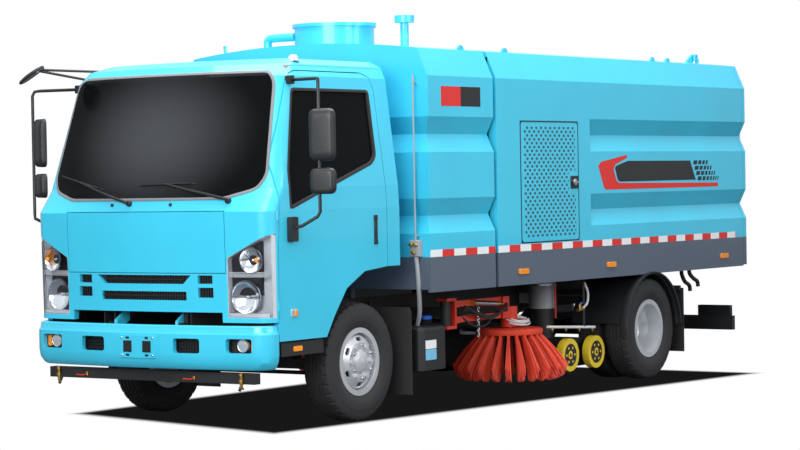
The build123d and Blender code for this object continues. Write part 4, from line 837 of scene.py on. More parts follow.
# %% Windscreen, door windows, handles and steps
WINDSCREEN = rounded([(-898, 1670), (-850, 1588), (-650, 1532), (650, 1532), (850, 1588), (898, 1670),
                      (838, 2280), (795, 2340), (-795, 2340), (-838, 2280)], 40)
DOOR_WINDOW = rounded([(700, 2235), (840, 1700), (845, 1450), (330, 1610), (-110, 1740), (-165, 1790),
                       (-165, 2235)], 34)
screen_z = np.unique(np.round(np.concatenate([WINDSCREEN[:, 1], np.linspace(1532, 2340, 24)])))
right_half = WINDSCREEN[WINDSCREEN[:, 0] > 0]
right_half = right_half[np.argsort(right_half[:, 1])]
half = np.interp(screen_z, right_half[:, 1], right_half[:, 0])
pane = slab(skin, half[:, None] * np.linspace(-1, 1, 61), screen_z[:, None], 0.5, 5)
screen = piece("windscreen_pane", pane, dark_glass, "cab", "glass", smooth=40)
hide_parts("windscreen")
screen_rubber = piece("windscreen_rubber", gasket(skin, WINDSCREEN, 3, 16, -1, 7), pillar_rubber, "cab",
                      "tyre_rubber")
pair("window_rubber", gasket(on_door, DOOR_WINDOW, 14, 6, -16, 3), rubber, "cab_door_*", "tyre_rubber")
handle = [pad(on_door_face, -122, -84, 1192, 1230, -11, 9), pad(on_door_face, -122, -84, 1352, 1392, -11, 9),
          pad(on_door_face, -120, -86, 1225, 1360, -2, 8)]
pair("door_handle", joined(*handle), black_plastic, "cab_door_*", "black_plastic", bevel=0.004)
hangers = [plate(box_outline(x - 20, 580, x + 20, 606, 4), 915, 975) for x in (540, 900)]
pair("step", joined(plate(box_outline(492, 500, 948, 588, 8), 905, 985), *hangers), black_plastic, "cab",
     "black_plastic", bevel=0.003)
treads = [plate(box_outline(x, 586, x + 12, 593, 2), 910, 980) for x in range(505, 940, 36)]
pair("step_treads", joined(*treads), black_plastic, "cab", "black_plastic")
print("windscreen rubber points", len(screen_rubber.data.vertices))

# %% [markdown]
# ### Headlamps
#
# A headlamp is a silver tray under a clear cover, with one round reflector above, a larger one below and a
# ribbed band between them.  A painted plate would look flat.  So each bowl is a real curve, as deep as
# 1 - (r / radius)^2, turned about the lamp's own axis, and it throws light forward.

# %% Headlamps
def lamp_rows(inset):
    """Rows of (y, z) places across the lamp's outline: a slanted inner edge and a straight outer one."""
    z = np.linspace(756 + inset, 1290 - inset, 34)[:, None]
    inner = np.interp(z, [756, 1142, 1280, 1294], [684, 684, 960, 990]) + inset
    outer = np.full(z.shape, 994.0) - inset
    inner = np.minimum(inner, outer - 1)
    return inner + (outer - inner) * np.linspace(0, 1, 16), np.broadcast_to(z, (34, 16))


def lamp_frame(y, z, sunk):
    """A place under the nose at (y, z) and the direction out of it: the skin's own normal."""
    out = skin(y, z, 1.0) - skin(y, z, 0.0)
    return skin(y, z, -sunk), out / np.linalg.norm(out)


def bowl(place, out, radius, depth):
    """A reflector: depth grows from the rim to the middle as 1 - (r / radius)^2."""
    r = radius * np.linspace(0.01, 1, 9)
    curve = -depth * (1 - (r / radius) ** 2)
    rim = [(2.5, radius + 1), (2.5, radius + 6), (-5, radius + 7)]
    back = np.column_stack([curve - 4, r])[::-1]
    return turned(np.vstack([np.column_stack([curve, r]), rim, back]), place, out, 40)


def bulb(place, out, radius, length):
    """A rounded bulb: a half ellipse turned about the direction that it looks in."""
    t = np.linspace(0, np.pi / 2 - 0.02, 8)
    outline = np.column_stack([length * np.sin(t), radius * np.cos(t)])
    return turned(np.vstack([outline, [(0, 0.5)]]), place, out, 20)


on_floor = surface(1001)
rows_y, rows_z = lamp_rows(0)
edge_y, edge_z = rim_of(rows_y), rim_of(rows_z)
inner_y, inner_z = 816 + (edge_y - 816) * 0.965, 1000 + (edge_z - 1000) * 0.985
wall_points = np.stack([on_floor(edge_y, edge_z, 1), skin(edge_y, edge_z, -2.0),
                        skin(inner_y, inner_z, -2.0), on_floor(inner_y, inner_z, 1)])
wall = metres(wall_points), grid_faces(4, len(edge_y), True, True).tolist()
tray = joined(slab(on_floor, rows_y, rows_z, 0.5, 3), wall)
low_lamp, high_lamp, amber_lamp = [lamp_frame(*numbers) for numbers in
                                   ((806, 888, 22), (856, 1126, 14), (900, 1128, 12))]
bars = [pad(skin, 692, 975, z, z + 5, -34, -8) for z in range(1018, 1050, 9)]
bars.append(slab(skin, *np.meshgrid(np.linspace(692, 975, 12), [762, 786]), -30, -8))
bowls = joined(bowl(*low_lamp, 104, 44), bowl(*high_lamp, 78, 44))
bulbs = [bulb(at - 40 * out, out, radius, length)
         for (at, out), radius, length in ((low_lamp, 12, 30), (high_lamp, 10, 24))]
pair("headlamp_tray", tray, lamp_tray, "cab", "lamp", "headlamps")
pair("headlamp_reflectors", bowls, reflector, "cab", "lamp")
pair("headlamp_bulbs", joined(*bulbs), lamp_glass, "cab", "lamp")
pair("indicator_bulb", bulb(*amber_lamp, 17, 14), amber, "cab", "lamp")
pair("headlamp_bars", joined(*bars), lamp_tray, "cab", "lamp")
pair("headlamp_cover", slab(skin, *lamp_rows(3), -5, -1.5), clear_lens, "cab", "lamp", "headlamps")
print("reflector rims at", low_lamp[0].round(), high_lamp[0].round(), "mm")

# %% [markdown]
# ### Grille
#
# The slots in the nose are pockets, so they need something dark and ribbed inside.  A texture would show no
# depth when the truck turns, so the ribs are real bars on a back plate, all laid on the skin.

# %% Grille
grille = []
for low, high, half_low, half_high in ((973, 1030, 338, 400), (866, 923, 362, 362)):
    z = np.linspace(low, high, 2)[:, None]
    half = half_low + (half_high - half_low) * (z - low) / (high - low) - 3
    middle = (low + high) / 2
    grille += [slab(skin, half * np.linspace(-1, 1, 41), z, -24.5, -21),
               ribs(skin, np.arange(-half_low + 12, half_low, 22), low + 1, high - 1, 5, -22, -9),
               slab(skin, np.linspace(-half_low, half_low, 31), [[middle - 3], [middle + 3]], -22, -6)]
for low, high, outer in ((975, 1030, 570), (885, 950, 575)):
    grille.append(both_sides(pad(skin, 457, outer - 2, low + 1, high - 1, -24.5, -21),
                             ribs(skin, np.arange(470, outer - 6, 20), low + 2, high - 2, 5, -22, -9)))
grille = piece("grille_bars", joined(*grille), black_plastic, "cab", "black_plastic")
print("grille faces", len(grille.data.polygons))

# %% [markdown]
# ### Bumper fittings
#
# The bumper carries lined openings with mesh and fog lamps, and a centre plate.  A flat lining or mesh would
# stand off at one end, so both are laid on the bumper's bow, x = 1215 - 91 (y / 1000)^2.

# %% Bumper fittings
def bumper_x(y, z):
    """The bumper's front: a bow from 1215 at the middle to 1124 at the side."""
    return 1215 - 91 * (np.asarray(y, float) / 1000) ** 2


def cup(y, z, half_wide, half_high, far):
    """The lining of one opening: walls from 31 mm behind the bow to lift far, and a floor across."""
    outline = resampled(rounded([(y - half_wide, z - half_high), (y + half_wide, z - half_high),
                                 (y + half_wide, z + half_high), (y - half_wide, z + half_high)], 20, 5), 30)
    centre = np.array([y, z])
    steps = [(1.05, -31), (1.0, -31), (1.0, far + 4), (0.02, far + 4), (0.02, far), (1.05, far)]
    rings = [on_bumper(*(centre + (outline - centre) * size).T, lift) for size, lift in steps]
    return metres(np.stack(rings)), grid_faces(len(rings), len(outline), True, True).tolist()


on_bumper = surface(bumper_x)
mesh_bars_and_shade_sheet = [slab(on_bumper, np.linspace(304, 496, 8), [[z - 2.5], [z + 2.5]], -62, -54)
             for z in (540, 563, 587, 610)]
# The black sheet from lift -78 to -74 behind each mesh is painted shade in the opening.
mesh_bars_and_shade_sheet += [slab(on_bumper, np.linspace(296, 504, 8), [[524], [626]], -78, -74),
              ribs(on_bumper, np.arange(310, 490, 22), 532, 618, 5, -60, -52)]
fog = turned([(0, 8), (3, 30), (8, 38), (10, 42), (6, 43), (-14, 43), (-20, 40), (-20, 8)],
             (1106, 800, 579), (1, 0, 0), 40)
fog_glass = turned([(8, 0.5), (9, 18), (6, 36), (3, 36), (3, 0.5)], (1109, 800, 579), (1, 0, 0), 36)
cups = both_sides(cup(400, 575, 106, 50, -82), cup(800, 579, 98, 48, -76))
windows = [plate(box_outline(y - w, z, y + w, z + h, 4), 1216, 1220.5, "x") for y in (-82, 82)
           for w, z, h in ((36, 526, 76), (14, 614, 14), (14, 500, 14))]
bolts = [turned([(-3, 0.5), (-3, 8), (3, 8), (4.5, 6), (4.5, 0.5)], (1219, y, z), (1, 0, 0), 6)
         for y in (-132, 132) for z in (506, 622)]
indicators = both_sides(plate(box_outline(858, 540, 892, 618, 8), 1086, 1102, "x"))
middle_plate = plate(box_outline(-152, 488, 152, 640, 8), 1205, 1219, "x")
for name, shape, look, slot, bevel in (
        ("bumper_mesh_and_shade_sheet", both_sides(*mesh_bars_and_shade_sheet), black_plastic, "black_plastic", 0),
        ("bumper_cups", cups, black_plastic, "black_plastic", 0),
        ("fog_lamps", both_sides(fog), wheel_silver, "lamp", 0),
        ("fog_glasses", both_sides(fog_glass), lamp_glass, "lamp", 0),
        ("bumper_indicators", indicators, amber, "lamp", 0.004),
        ("bumper_plate", middle_plate, sky_paint, "blue_paint", 0.003),
        ("bumper_windows", joined(*windows), film_black, "black_plastic", 0),
        ("bumper_bolts", joined(*bolts), steel, "steel", 0)):
    piece(name, shape, look, "chassis", slot, bevel=bevel)
print("windows and bolts on the plate", len(windows), len(bolts))

# %% [markdown]
# ### Washing bar
#
# The bar under the bumper has two drop nozzles with bent tips, and two valves with red levers.  Each nozzle
# could be stacked from cylinders; one stepped profile, turned about its axis, makes the same brass fitting.

# %% Washing bar
NOZZLE = [(0, 0.5), (0, 14), (16, 14), (18, 10), (40, 10), (42, 17), (58, 17), (60, 11), (74, 11), (74, 0.5)]
nozzles, elbows, levers = [], [], []
for y in (-788, 780):
    nozzles.append(turned(NOZZLE, (1112, y, 402), (0, 0, -1), 12))
    elbows.append(tube([(1112, y, 332), (1112, y, 316), (1120, y + 10, 308), (1136, y + 34, 304)],
                       [11, 11, 10, 7], 12))
for y in (-547, 380):
    levers.append(tube([(1104, y - 90, 352), (1106, y - 20, 350), (1106, y, 362)], [5, 5, 6], 8))
    nozzles.append(turned([(-16, 0.5), (-16, 9), (8, 9), (8, 0.5)], (1106, y + 8, 366), (0, 0, 1), 10))
piece("washing_nozzles", joined(*nozzles, *elbows), brass, "chassis", "steel")
piece("washing_levers", joined(*levers), arm_red, "chassis", "arm_red")
print("washing nozzles and valves", len(nozzles))

# %% [markdown]
# ### Wipers
#
# A wiper is an arm from its spindle and a blade of rubber under a thin frame.  Both run through points on
# the glass, lifted along its normal, so the blade stays on the curve that a straight bar would cut through.

# %% Wipers
def wiper(spindle, tail, tip, arm_end):
    """One wiper: points p = (1-t) a + t b on the glass, lifted by 14 + 10 sin(pi t) for the arm."""
    share = np.linspace(0, 1, 12)[:, None]
    blade = np.array(tail) * (1 - share) + np.array(tip) * share
    arm = np.array(spindle) * (1 - share) + np.array(arm_end) * share
    arch = 14 + 10 * np.sin(np.pi * share[:, 0])
    boss = turned([(-8, 0.5), (-8, 22), (16, 20), (24, 13), (24, 0.5)], skin(*spindle), (1, 0, 0.25), 24)
    return joined(tube(skin(*arm.T, arch + 8), np.linspace(11, 6, 12), 8), boss,
                  tube(skin(*blade.T, 5.0), 5, 6), tube(skin(*blade[1:-1].T, 14.0), 6, 8))


wipers = joined(wiper((-96, 1500), (-344, 1592), (-838, 1690), (-590, 1640)),
                wiper((688, 1510), (432, 1624), (-40, 1616), (196, 1620)))
jets = [turned([(-4, 0.5), (-4, 13), (9, 10), (12, 5), (12, 0.5)], skin(y, 1490), (1, 0, 0.3), 12)
        for y in (-250, 250)]
piece("wipers", wipers, film_black, "cab", "black_plastic")
piece("washer_jets", joined(*jets), film_black, "cab", "black_plastic")
print("wiper points", len(wipers[0]))

# %% [markdown]
# ### Mirrors
#
# A mirror head is a rounded shell behind a pane.  A scaled block would keep hard edges, so the shell is a
# stack of rings: each is the outline drawn in and pushed out by a quarter of a circle.

# %% Mirrors
def mirror_head(place, low, high):
    """A rounded shell: ring t is the outline times 1 - 0.35 (1 - cos t), at the depth 24 + 28 sin t."""
    outline = resampled(rounded([(-88, low), (88, low), (88, high), (-88, high)], 46, 6), 30)
    centre = np.array([0, (low + high) / 2])
    steps = [(0.93, 0), (1, -2)] + [(1 - 0.35 * (1 - np.cos(t)), -24 - 28 * np.sin(t))
                                    for t in np.linspace(0.2, 1, 6) * np.pi / 2]
    rings = [place(*(centre + (outline - centre) * size).T, lift) for size, lift in steps]
    count, last = len(outline), (len(rings) - 1) * len(outline)
    faces = grid_faces(len(rings), count, wrap_columns=True).tolist()
    return metres(np.stack(rings)), faces + [tuple(range(count)), tuple(range(last, last + count))]


MIRRORS = {"left": (780, 1213, 14, 1, 1190), "right": (795, -1216, 30, -1, 1290)}
for side, (x, y, turn, sign, tube_y) in MIRRORS.items():
    t, door = np.radians(turn), f"cab_door_{side}"
    facing = np.array([-np.cos(t), -sign * np.sin(t), 0])
    across = np.array([-np.sin(t), sign * np.cos(t), 0])

    def on_mirror(a, b, lift):
        """A surface for slab: the back of the mirror head, across by a and up by b."""
        a, b = np.broadcast_arrays(np.asarray(a, float), np.asarray(b, float))
        flat = np.array([x, y, 0.0]) + a[..., None] * across + (26.0 + lift) * facing
        flat[..., 2] = b
        return flat

    arm = [(700, 925, 2290), (745, tube_y - 40, 2290), (768, tube_y - 10, 2285), (780, tube_y, 2255),
           (780, tube_y, 1840), (780, tube_y, 1430), (790, tube_y - 12, 1400), (830, 1080, 1340),
           (850, 1015, 1325)]
    feet = [plate(outline, *sorted((sign * near, sign * far))) for outline, near, far in
            ((box_outline(815, 1240, 885, 1400, 14), 1000, 1040),
             (box_outline(690, 2262, 735, 2318, 8), 890, 935))]
    arm_shape = joined(tube(np.array(arm) * [1, sign, 1], 11, 12), *feet)
    arm_piece = piece(f"mirror_arm_{side}", arm_shape, black_plastic, door, "black_plastic")
    shells = joined(*[mirror_head(on_mirror, low, high) for low, high in ((1757, 2094), (1543, 1712))])
    heads = piece(f"mirror_heads_{side}", shells, black_plastic, door, "black_plastic", smooth=40)
    for made in (arm_piece, heads):
        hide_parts(f"mirrors_{side}")
    panes = [pad(on_mirror, -72, 72, low, high, 0, 1.5) for low, high in ((1776, 2075), (1560, 1695))]
    piece(f"mirror_glass_{side}", joined(*panes), mirror_glass, door, "glass")
print("mirror arm points", len(arm))

# %% [markdown]
# ### Corner mirror, arch liners and small lamps
#
# A round mirror on two stays looks down over the right front corner.  It and the roof lamp are turned
# profiles, because both are round; the arch liners and the side markers are plates.

# %% Corner mirror, arch liners and small lamps
CORNER, LOOK_DOWN = (985.0, -1105, 2392), (-0.35, 0.45, -0.82)
DISH = [(-14, 0.5), (-14, 60), (-8, 96), (2, 105), (12, 100), (14, 92), (14, 0.5)]
DOME = [(0, 0.5), (0, 46), (10, 46), (12, 38), (26, 34), (38, 22), (42, 0.5)]
stays = [tube([(690, -850, 2352), (960, -1075, 2420), (985, -1100, 2400)], 9, 10),
         tube([(575, -775, 2408), (960, -1072, 2426), (985, -1100, 2404)], 9, 10)]
piece("corner_mirror", joined(turned(DISH, CORNER, LOOK_DOWN, 40), *stays), black_plastic, "cab",
      "black_plastic", smooth=40)
piece("corner_mirror_glass", turned([(13, 0.5), (13, 90), (15.5, 89), (16.5, 0.5)], CORNER, LOOK_DOWN, 40),
      mirror_glass, "cab", "glass", smooth=40)
arch = np.array([(462, 606), (368, 742), (228, 907), (24, 1010), (-240, 1030), (-372, 1030)], float)
liner = plate(np.vstack([arch, (arch + [0, 4])[::-1]]), 805, 992)
piece("arch_liners", both_sides(liner), black_plastic, "cab", "black_plastic")
piece("roof_lamp", turned(DOME, (522, 800, 2424), (0, 0, 1), 32), lamp_glass, "cab", "lamp")
pair("side_marker", plate(box_outline(795, 753, 861, 803, 8), 997, 1008), lamp_glass, "cab_door_*", "lamp",
     bevel=0.003)
pair("side_marker_tip", plate(box_outline(799, 757, 825, 799, 6), 1004, 1011), amber, "cab_door_*", "lamp",
     bevel=0.002)
print("arch liner points", len(arch))

# %% [markdown]
# ### The bumper
#
# The bumper's skin is a ring of the same outline at several heights, drawn in near the top and the bottom,
# so it has creased edges that catch the light.  Its openings could be left out of the grid; boxes with
# rounded corners, taken away by a Boolean modifier, give them clean round corners instead.

# %% Bumper skin
def bumper_ring(z, inset):
    """The bumper's plan at one height: a bow in front, round corners, and straight back to the wheels."""
    half, corner, rear = 1000 - inset, 118.0, 992.0
    y = np.linspace(0, half - corner, 16)
    bow = np.column_stack([bumper_x(y, z) - inset, y])
    turn = np.linspace(0, np.pi / 2, 9)[1:]
    arc = bow[-1] - [corner, 0] + corner * np.column_stack([np.cos(turn), np.sin(turn)])
    right = np.vstack([bow, arc, [[rear, half]]])
    outline = np.vstack([right[:0:-1] * [1, -1], right])
    return np.column_stack([outline, np.full(len(outline), float(z))])


LEVELS = [(421, 40), (432, 26), (470, 6), (520, 0), (600, 0), (650, 0.5), (664, 8), (700, 12), (707, 20)]
SHEET = 34
outside = np.stack([bumper_ring(z, inset) for z, inset in LEVELS])
inside = np.stack([bumper_ring(z, inset + SHEET) for z, inset in LEVELS[::-1]])
inside[..., 0] = np.where(inside[..., 0] < 993, 992, inside[..., 0])
rings = np.concatenate([outside, inside])
index = np.arange(rings[..., 0].size).reshape(rings.shape[:2])
skin_faces = grid_faces(*index.shape, wrap_rows=True).tolist()
for column in (0, -1):
    end = index[:, column]
    skin_faces += [(end[k], end[k + 1], end[-2 - k], end[-1 - k]) for k in range(len(LEVELS) - 1)]
bumper = piece("bumper_skin", (metres(rings), skin_faces), sky_paint, "chassis", "blue_paint", smooth=25)
openings = both_sides(plate(box_outline(296, 527, 504, 623, 20), 1050, 1300, "x"),
                      plate(box_outline(704, 533, 896, 625, 20), 1060, 1300, "x"))
cutter = placed("bumper_cutters", openings)
cut = bumper.modifiers.new("openings", "BOOLEAN")
cut.operation, cut.solver, cut.object = "DIFFERENCE", "EXACT", cutter
bpy.context.view_layer.update()
cut_mesh = bpy.data.meshes.new_from_object(bumper.evaluated_get(bpy.context.evaluated_depsgraph_get()))
bumper.modifiers.clear()
bumper.data = cut_mesh
bpy.data.objects.remove(cutter)
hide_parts("front_bumper")
print("bumper faces", len(cut_mesh.polygons))

# %% [markdown]
# ## The body's sides
#
# Tape, stripes and side lamps are thin pieces on the body's flat faces at y = 1080 mm.  They could be
# painted on by a formula, but real films keep their edges sharp at any distance.  The tape is one row of
# boxes whose colour goes by number: even blocks are white and odd blocks are red.

# %% Tape, stripes and side lamps
SIDE = 1080.0
BLOCK, TAPE_LOW, TAPE_HIGH = 150.0, 1085, 1135


def film(outline, proud=0.8):
    """A thin film on both sides of the body, half a millimetre into it and proud of it by the rest."""
    return both_sides(plate(outline, SIDE - 0.5, SIDE + proud))


def checked(made, blocks):
    """Gives box k of a row of boxes the material k mod 2, counting again after each full row."""
    block = np.arange(len(made.data.polygons)) // 6 % blocks
    made.data.polygons.foreach_set("material_index", (block % 2).astype(np.int32))
    return made


def tape(name, start, end, body):
    """Blocks of tape from start back to end, both sides: block k begins at start - 150 k, red if odd."""
    edges = np.append(np.arange(start, end, -BLOCK), end)
    shape = joined(*[plate([(a, TAPE_LOW), (b, TAPE_LOW), (b, TAPE_HIGH), (a, TAPE_HIGH)], SIDE - 0.5,
                           SIDE + 0.9) for a, b in zip(edges, edges[1:])])
    made = piece(name, both_sides(shape), [white_tape, red_tape], body, "blue_paint", smooth=0)
    return checked(made, len(edges) - 1)


tank_tape = tape("tank_tape", -645, -1487, "chassis")
hopper_tape = tape("hopper_tape", -1527, -5290, "hopper")

HOOK = [(-3419, 1787), (-3445, 1776), (-3429, 1763), (-3248, 1713), (-3220, 1673), (-3267, 1586),
        (-3311, 1570), (-4974, 1554), (-4973, 1521), (-3101, 1519), (-3065, 1535), (-2981, 1706),
        (-3026, 1736)]
PANEL = [(-3441, 1741), (-4483, 1739), (-4580, 1581), (-3317, 1579), (-3281, 1595), (-3242, 1686),
         (-3258, 1701)]
DASH_ROWS = [(-4535, -4791, 1740), (-4557, -4858, 1695), (-4582, -4928, 1652), (-4607, -4987, 1608)]
piece("side_stripe", film(HOOK), red_tape, "hopper", "blue_paint", smooth=0)
dashes = []
for x, end, top in DASH_ROWS:
    length = 66.0
    while length > 12 and x - length > end - 20:
        dashes.append(film([(x, top - 33), (x - length, top - 33), (x - length - 14, top), (x - 14, top)]))
        x, length = x - length - 20, length * 0.78
piece("side_panel_film", joined(film(PANEL), *dashes), film_black, "hopper", "blue_paint", smooth=0)
for name, look, front, rear in (("red", red_tape, -810, -1060), ("black", film_black, -1060, -1317)):
    shape = film([(front, 2136), (rear, 2136), (rear, 2275), (front, 2275)], 1)
    piece(f"tank_plate_{name}", shape, look, "chassis", "blue_paint", smooth=0)
side_lamps = [plate(box_outline(x - 64, 918, x + 64, 958, 9), SIDE - 1, SIDE + 13)
              for x in (-1863, -3157, -5062)]
step_lamps = both_sides(plate(box_outline(732, 528, 822, 562, 8), 984, 994))
piece("side_lamps", both_sides(*side_lamps), amber, "hopper", "lamp", bevel=0.004)
piece("step_lamps", step_lamps, amber, "cab", "lamp", bevel=0.003)
print("tape blocks", len(tank_tape.data.polygons) // 12 + len(hopper_tape.data.polygons) // 12)

# %% [markdown]
# ### Service door and rear door
#
# The service door has a latch with a turning handle and a rubber lip.  The rear door has catches,
# reflectors and tape of its own, and lamps stand under it.  The lip is an offset strip round an outline,
# like the windscreen's, because an outline scaled down would give a strip of uneven width.

# %% Service door and rear door
DOOR_EDGE = rounded([(-2680, 1146), (-1850, 1146), (-1850, 2039), (-2680, 2039)], 35)
door_lip = gasket(surface(SIDE, "y"), DOOR_EDGE, 5, 3, -3, 3)
piece("service_door_lip", door_lip, rubber, "service_door", "tyre_rubber")
latch_plate = plate(box_outline(-2675, 1535, -2559, 1631, 12), SIDE - 1, SIDE + 5)
latch_knob = turned([(4, 0.5), (4, 26), (12, 26), (16, 21), (16, 0.5)], (-2617, SIDE, 1583), (0, 1, 0), 28)
latch_bar = plate(box_outline(-2650, 1577, -2584, 1589, 5), SIDE + 12, SIDE + 22)
piece("service_latch_plate", latch_plate, black_plastic, "service_door", "steel", bevel=0.002)
piece("service_latch", joined(latch_knob, latch_bar), steel, "service_door", "steel", bevel=0.001)

on_rear, on_housing = surface(-5485, sign=-1), surface(-5476, sign=-1)
for name, look, low, high in (("stop", red_lens, 645, 745), ("turn", amber, 750, 835),
                              ("reverse", lamp_glass, 840, 925)):
    lens = pad(on_housing, low, high, 418, 492, -1, 7)
    piece(f"rear_{name}_lenses", both_sides(lens), look, "chassis", "lamp", bevel=0.003)
catches = [part for y in (-1010, 1010) for z in (1080, 1500, 1920) for part in
           (pad(on_rear, y - 22, y + 22, z - 60, z + 60, -1, 8),
            turned([(0, 0.5), (0, 15), (10, 15), (12, 12), (12, 0.5)], (-5492, y, z), (-1, 0, 0), 20))]
reflectors = [pad(on_rear, y - 60, y + 60, 960, 1010, -1, 3) for y in (-820, 820)]
blocks = [pad(on_rear, y, y + BLOCK, TAPE_LOW, TAPE_HIGH, -0.5, 0.9) for y in np.arange(-975, 975, BLOCK)]
piece("rear_door_catches", joined(*catches), steel, "rear_door", "steel", bevel=0.002)
piece("rear_reflectors", joined(*reflectors), red_lens, "rear_door", "lamp")
rear_tape = piece("rear_tape", joined(*blocks), [red_tape, white_tape], "rear_door", "blue_paint", smooth=0)
checked(rear_tape, len(blocks))
print("rear tape blocks", len(blocks))

# %% [markdown]
# ## Between the wheels
#
# Hoses, clamps and valves hang under the body.  A hose could be bent by hand; here it is a tube through a
# few points, made smooth by a cubic between neighbours (the Catmull-Rom rule), so it bends the way rubber
# does.

# %% Hoses, clamps and fittings
def flowing(points, steps=8):
    """A smooth line through all the points: each span is a cubic set by its four neighbours."""
    line = np.asarray(points, float)
    ends = np.vstack([2 * line[0] - line[1], line, 2 * line[-1] - line[-2]])
    t = np.linspace(0, 1, steps, endpoint=False)[:, None]
    spans = [0.5 * (2 * b + (c - a) * t + (2 * a - 5 * b + 4 * c - d) * t**2 + (3 * b - a - 3 * c + d) * t**3)
             for a, b, c, d in zip(ends, ends[1:], ends[2:], ends[3:])]
    return np.vstack([*spans, line[-1:]])


def hose(points, radius, sides=10):
    """A tube along the smooth line through the points."""
    return tube(flowing(points), radius, sides)


def clamp(centre, radius, axis, half=8):
    """A clamp: a band, 2.5 mm thick and twice half wide, round a pipe of the given radius."""
    band = [(-half, radius), (-half, radius + 2.5), (half, radius + 2.5), (half, radius)]
    return turned(band, centre, axis, 48)


CAP = [(636, 0.5), (636, 43), (641, 46), (657, 46), (663, 40), (665, 0.5)]
JET = [(0, 0.5), (0, 11), (12, 11), (14, 7), (26, 5), (26, 0.5)]
DRAIN = [(-4640, 900, 838), (-4651, 900, 790), (-4700, 900, 735), (-4775, 900, 700), (-4790, 900, 655)]
DRAIN_2 = [(-4720, 930, 838), (-4730, 930, 800), (-4790, 930, 760), (-4860, 930, 730), (-4875, 930, 690)]
cap_grip = plate([(-4, 44), (4, 44), (4, 49), (-4, 49)], 642, 656, "z")
fittings = [turned([(0, 0.5), (0, 15), (18, 15), (20, 11), (34, 11), (34, 0.5)], (-597, y, z), (1, 0, 0), 6)
            for y, z in ((960, 1175), (995, 1175), (978, 1120))]
bands = [part for z in (786, 822) for part in
         (clamp((-2975, 560, z), 102.3, (0, 0, 1)),
          plate([(-2990, 660), (-2960, 660), (-2960, 682), (-2990, 682)], z - 7, z + 7, "z"))]
rod = tube([(-2957, 690, 526), (-2957, 690, 783)], 8)
filter_hose = hose([(-622, 975, 1088), (-628, 982, 1000), (-650, 975, 860), (-720, 930, 700),
                    (-760, 880, 596)], 16, 14)
valve = [tube([(-3030, 900, 600), (-2940, 900, 590)], 14, 12),
         tube([(-2976, 900, 596), (-2976, 900, 640)], 10, 12)]
valve_handle = tube([(-2976, 900, 640), (-2960, 925, 646), (-2920, 945, 648)], [7, 7, 9])
valve_hose = hose([(-3010, 900, 602), (-3060, 915, 640), (-3100, 900, 720), (-3080, 880, 800)], 9)
side_jets = [turned(JET, (x, 900, 478 + (x + 2490) * 0.06), (0, 0, -1), 12)
             for x in (-2560, -2760, -2960, -3160)]
for name, shape, look, body, slot in (
        ("urea_cap", turned(CAP, (-890, 860, 0), (0, 0, 1), 36), cap_blue, "chassis", "black_plastic"),
        ("urea_cap_grips", spun(cap_grip, -890, 860, 18), cap_blue, "chassis", "black_plastic"),
        ("filter_hose", filter_hose, duct_grey, "chassis", "grey_duct"),
        ("filter_fittings", joined(*fittings), brass, "chassis", "steel"),
        ("duct_bands", both_sides(*bands), steel, "chassis", "steel"),
        ("duct_rods", both_sides(rod), arm_red, "chassis", "arm_red"),
        ("drain_pipes", both_sides(hose(DRAIN, 17, 14), hose(DRAIN_2, 17, 14)), black_plastic, "hopper",
         "black_plastic"),
        ("side_spray_valves", both_sides(*valve), brass, "chassis", "steel"),
        ("side_spray_handles", both_sides(valve_handle), cap_blue, "chassis", "steel"),
        ("side_spray_hoses", both_sides(valve_hose), label_white, "chassis", "grey_duct"),
        ("side_spray_jets", both_sides(*side_jets), brass, "chassis", "steel")):
    piece(name, shape, look, body, slot)
for name, look, low, high in (("white", label_white, 440, 500), ("blue", label_blue, 362, 436)):
    label = plate(box_outline(-840, low, -706, high, 6), 984.5, 986)
    piece(f"urea_label_{name}", label, look, "chassis", "black_plastic", smooth=0)
print("fittings and spray jets", len(fittings), len(side_jets))

# %% [markdown]
# ### Brush arms
#
# Each brush hangs on two arms with a gas strut, two drooping hoses and a lifting chain.  The chain could be a
# textured tube, but separate links show light through: link k is an oval ring, 20 mm below the last and
# turned a quarter.

# %% Brush arms
END = [(0, 0.5), (0, 24), (26, 24), (30, 18), (30, 0.5)]
strut = joined(tube([(-1660, 778, 711), (-1960, 778, 690)], 21, 20),
               tube([(-1960, 778, 690), (-2060, 778, 683)], 9, 14))
ends = joined(*[turned(END, (x, 778, z), (-1, 0, -0.07), 20) for x, z in ((-1640, 712), (-1950, 691))])
droop = joined(*[hose([(-1500, 740 + k, 630), (-1640, 748 + k * 2, 560 - k), (-1800, 752 + k * 2, 548 - k),
                       (-1950, 746 + k, 596), (-2040, 740 + k, 630)], 9) for k in (-14, 10)])
links = []
t = np.linspace(0, 2 * np.pi, 14, endpoint=False)
for k in range(13):
    wide = np.outer(7 * np.cos(t), (1, 0) if k % 2 else (0, 1))
    ring = np.column_stack([[-1725, 771] + wide, 708 - k * 20 + 13 * np.sin(t)])
    links.append(tube(ring, 2.6, 6, closed=True))
pair("strut", strut, steel, "brush_upper_arm_*", "steel")
pair("strut_ends", ends, brass, "brush_upper_arm_*", "steel")
pair("arm_hoses", droop, rubber, "brush_lower_arm_*", "black_plastic")
pair("brush_chain", joined(*links), steel, "brush_upper_arm_*", "steel")
print("chain links", len(links))

# %% [markdown]
# ### Pipes, lugs and lips
#
# The tank's top carries a hand hoop, a filling pipe and lifting lugs, and its front a sight tube and a
# filter.  The rear wheel arch has a round lip: a profile turned about the axle through only half a circle,
# because a whole ring would cross the body.

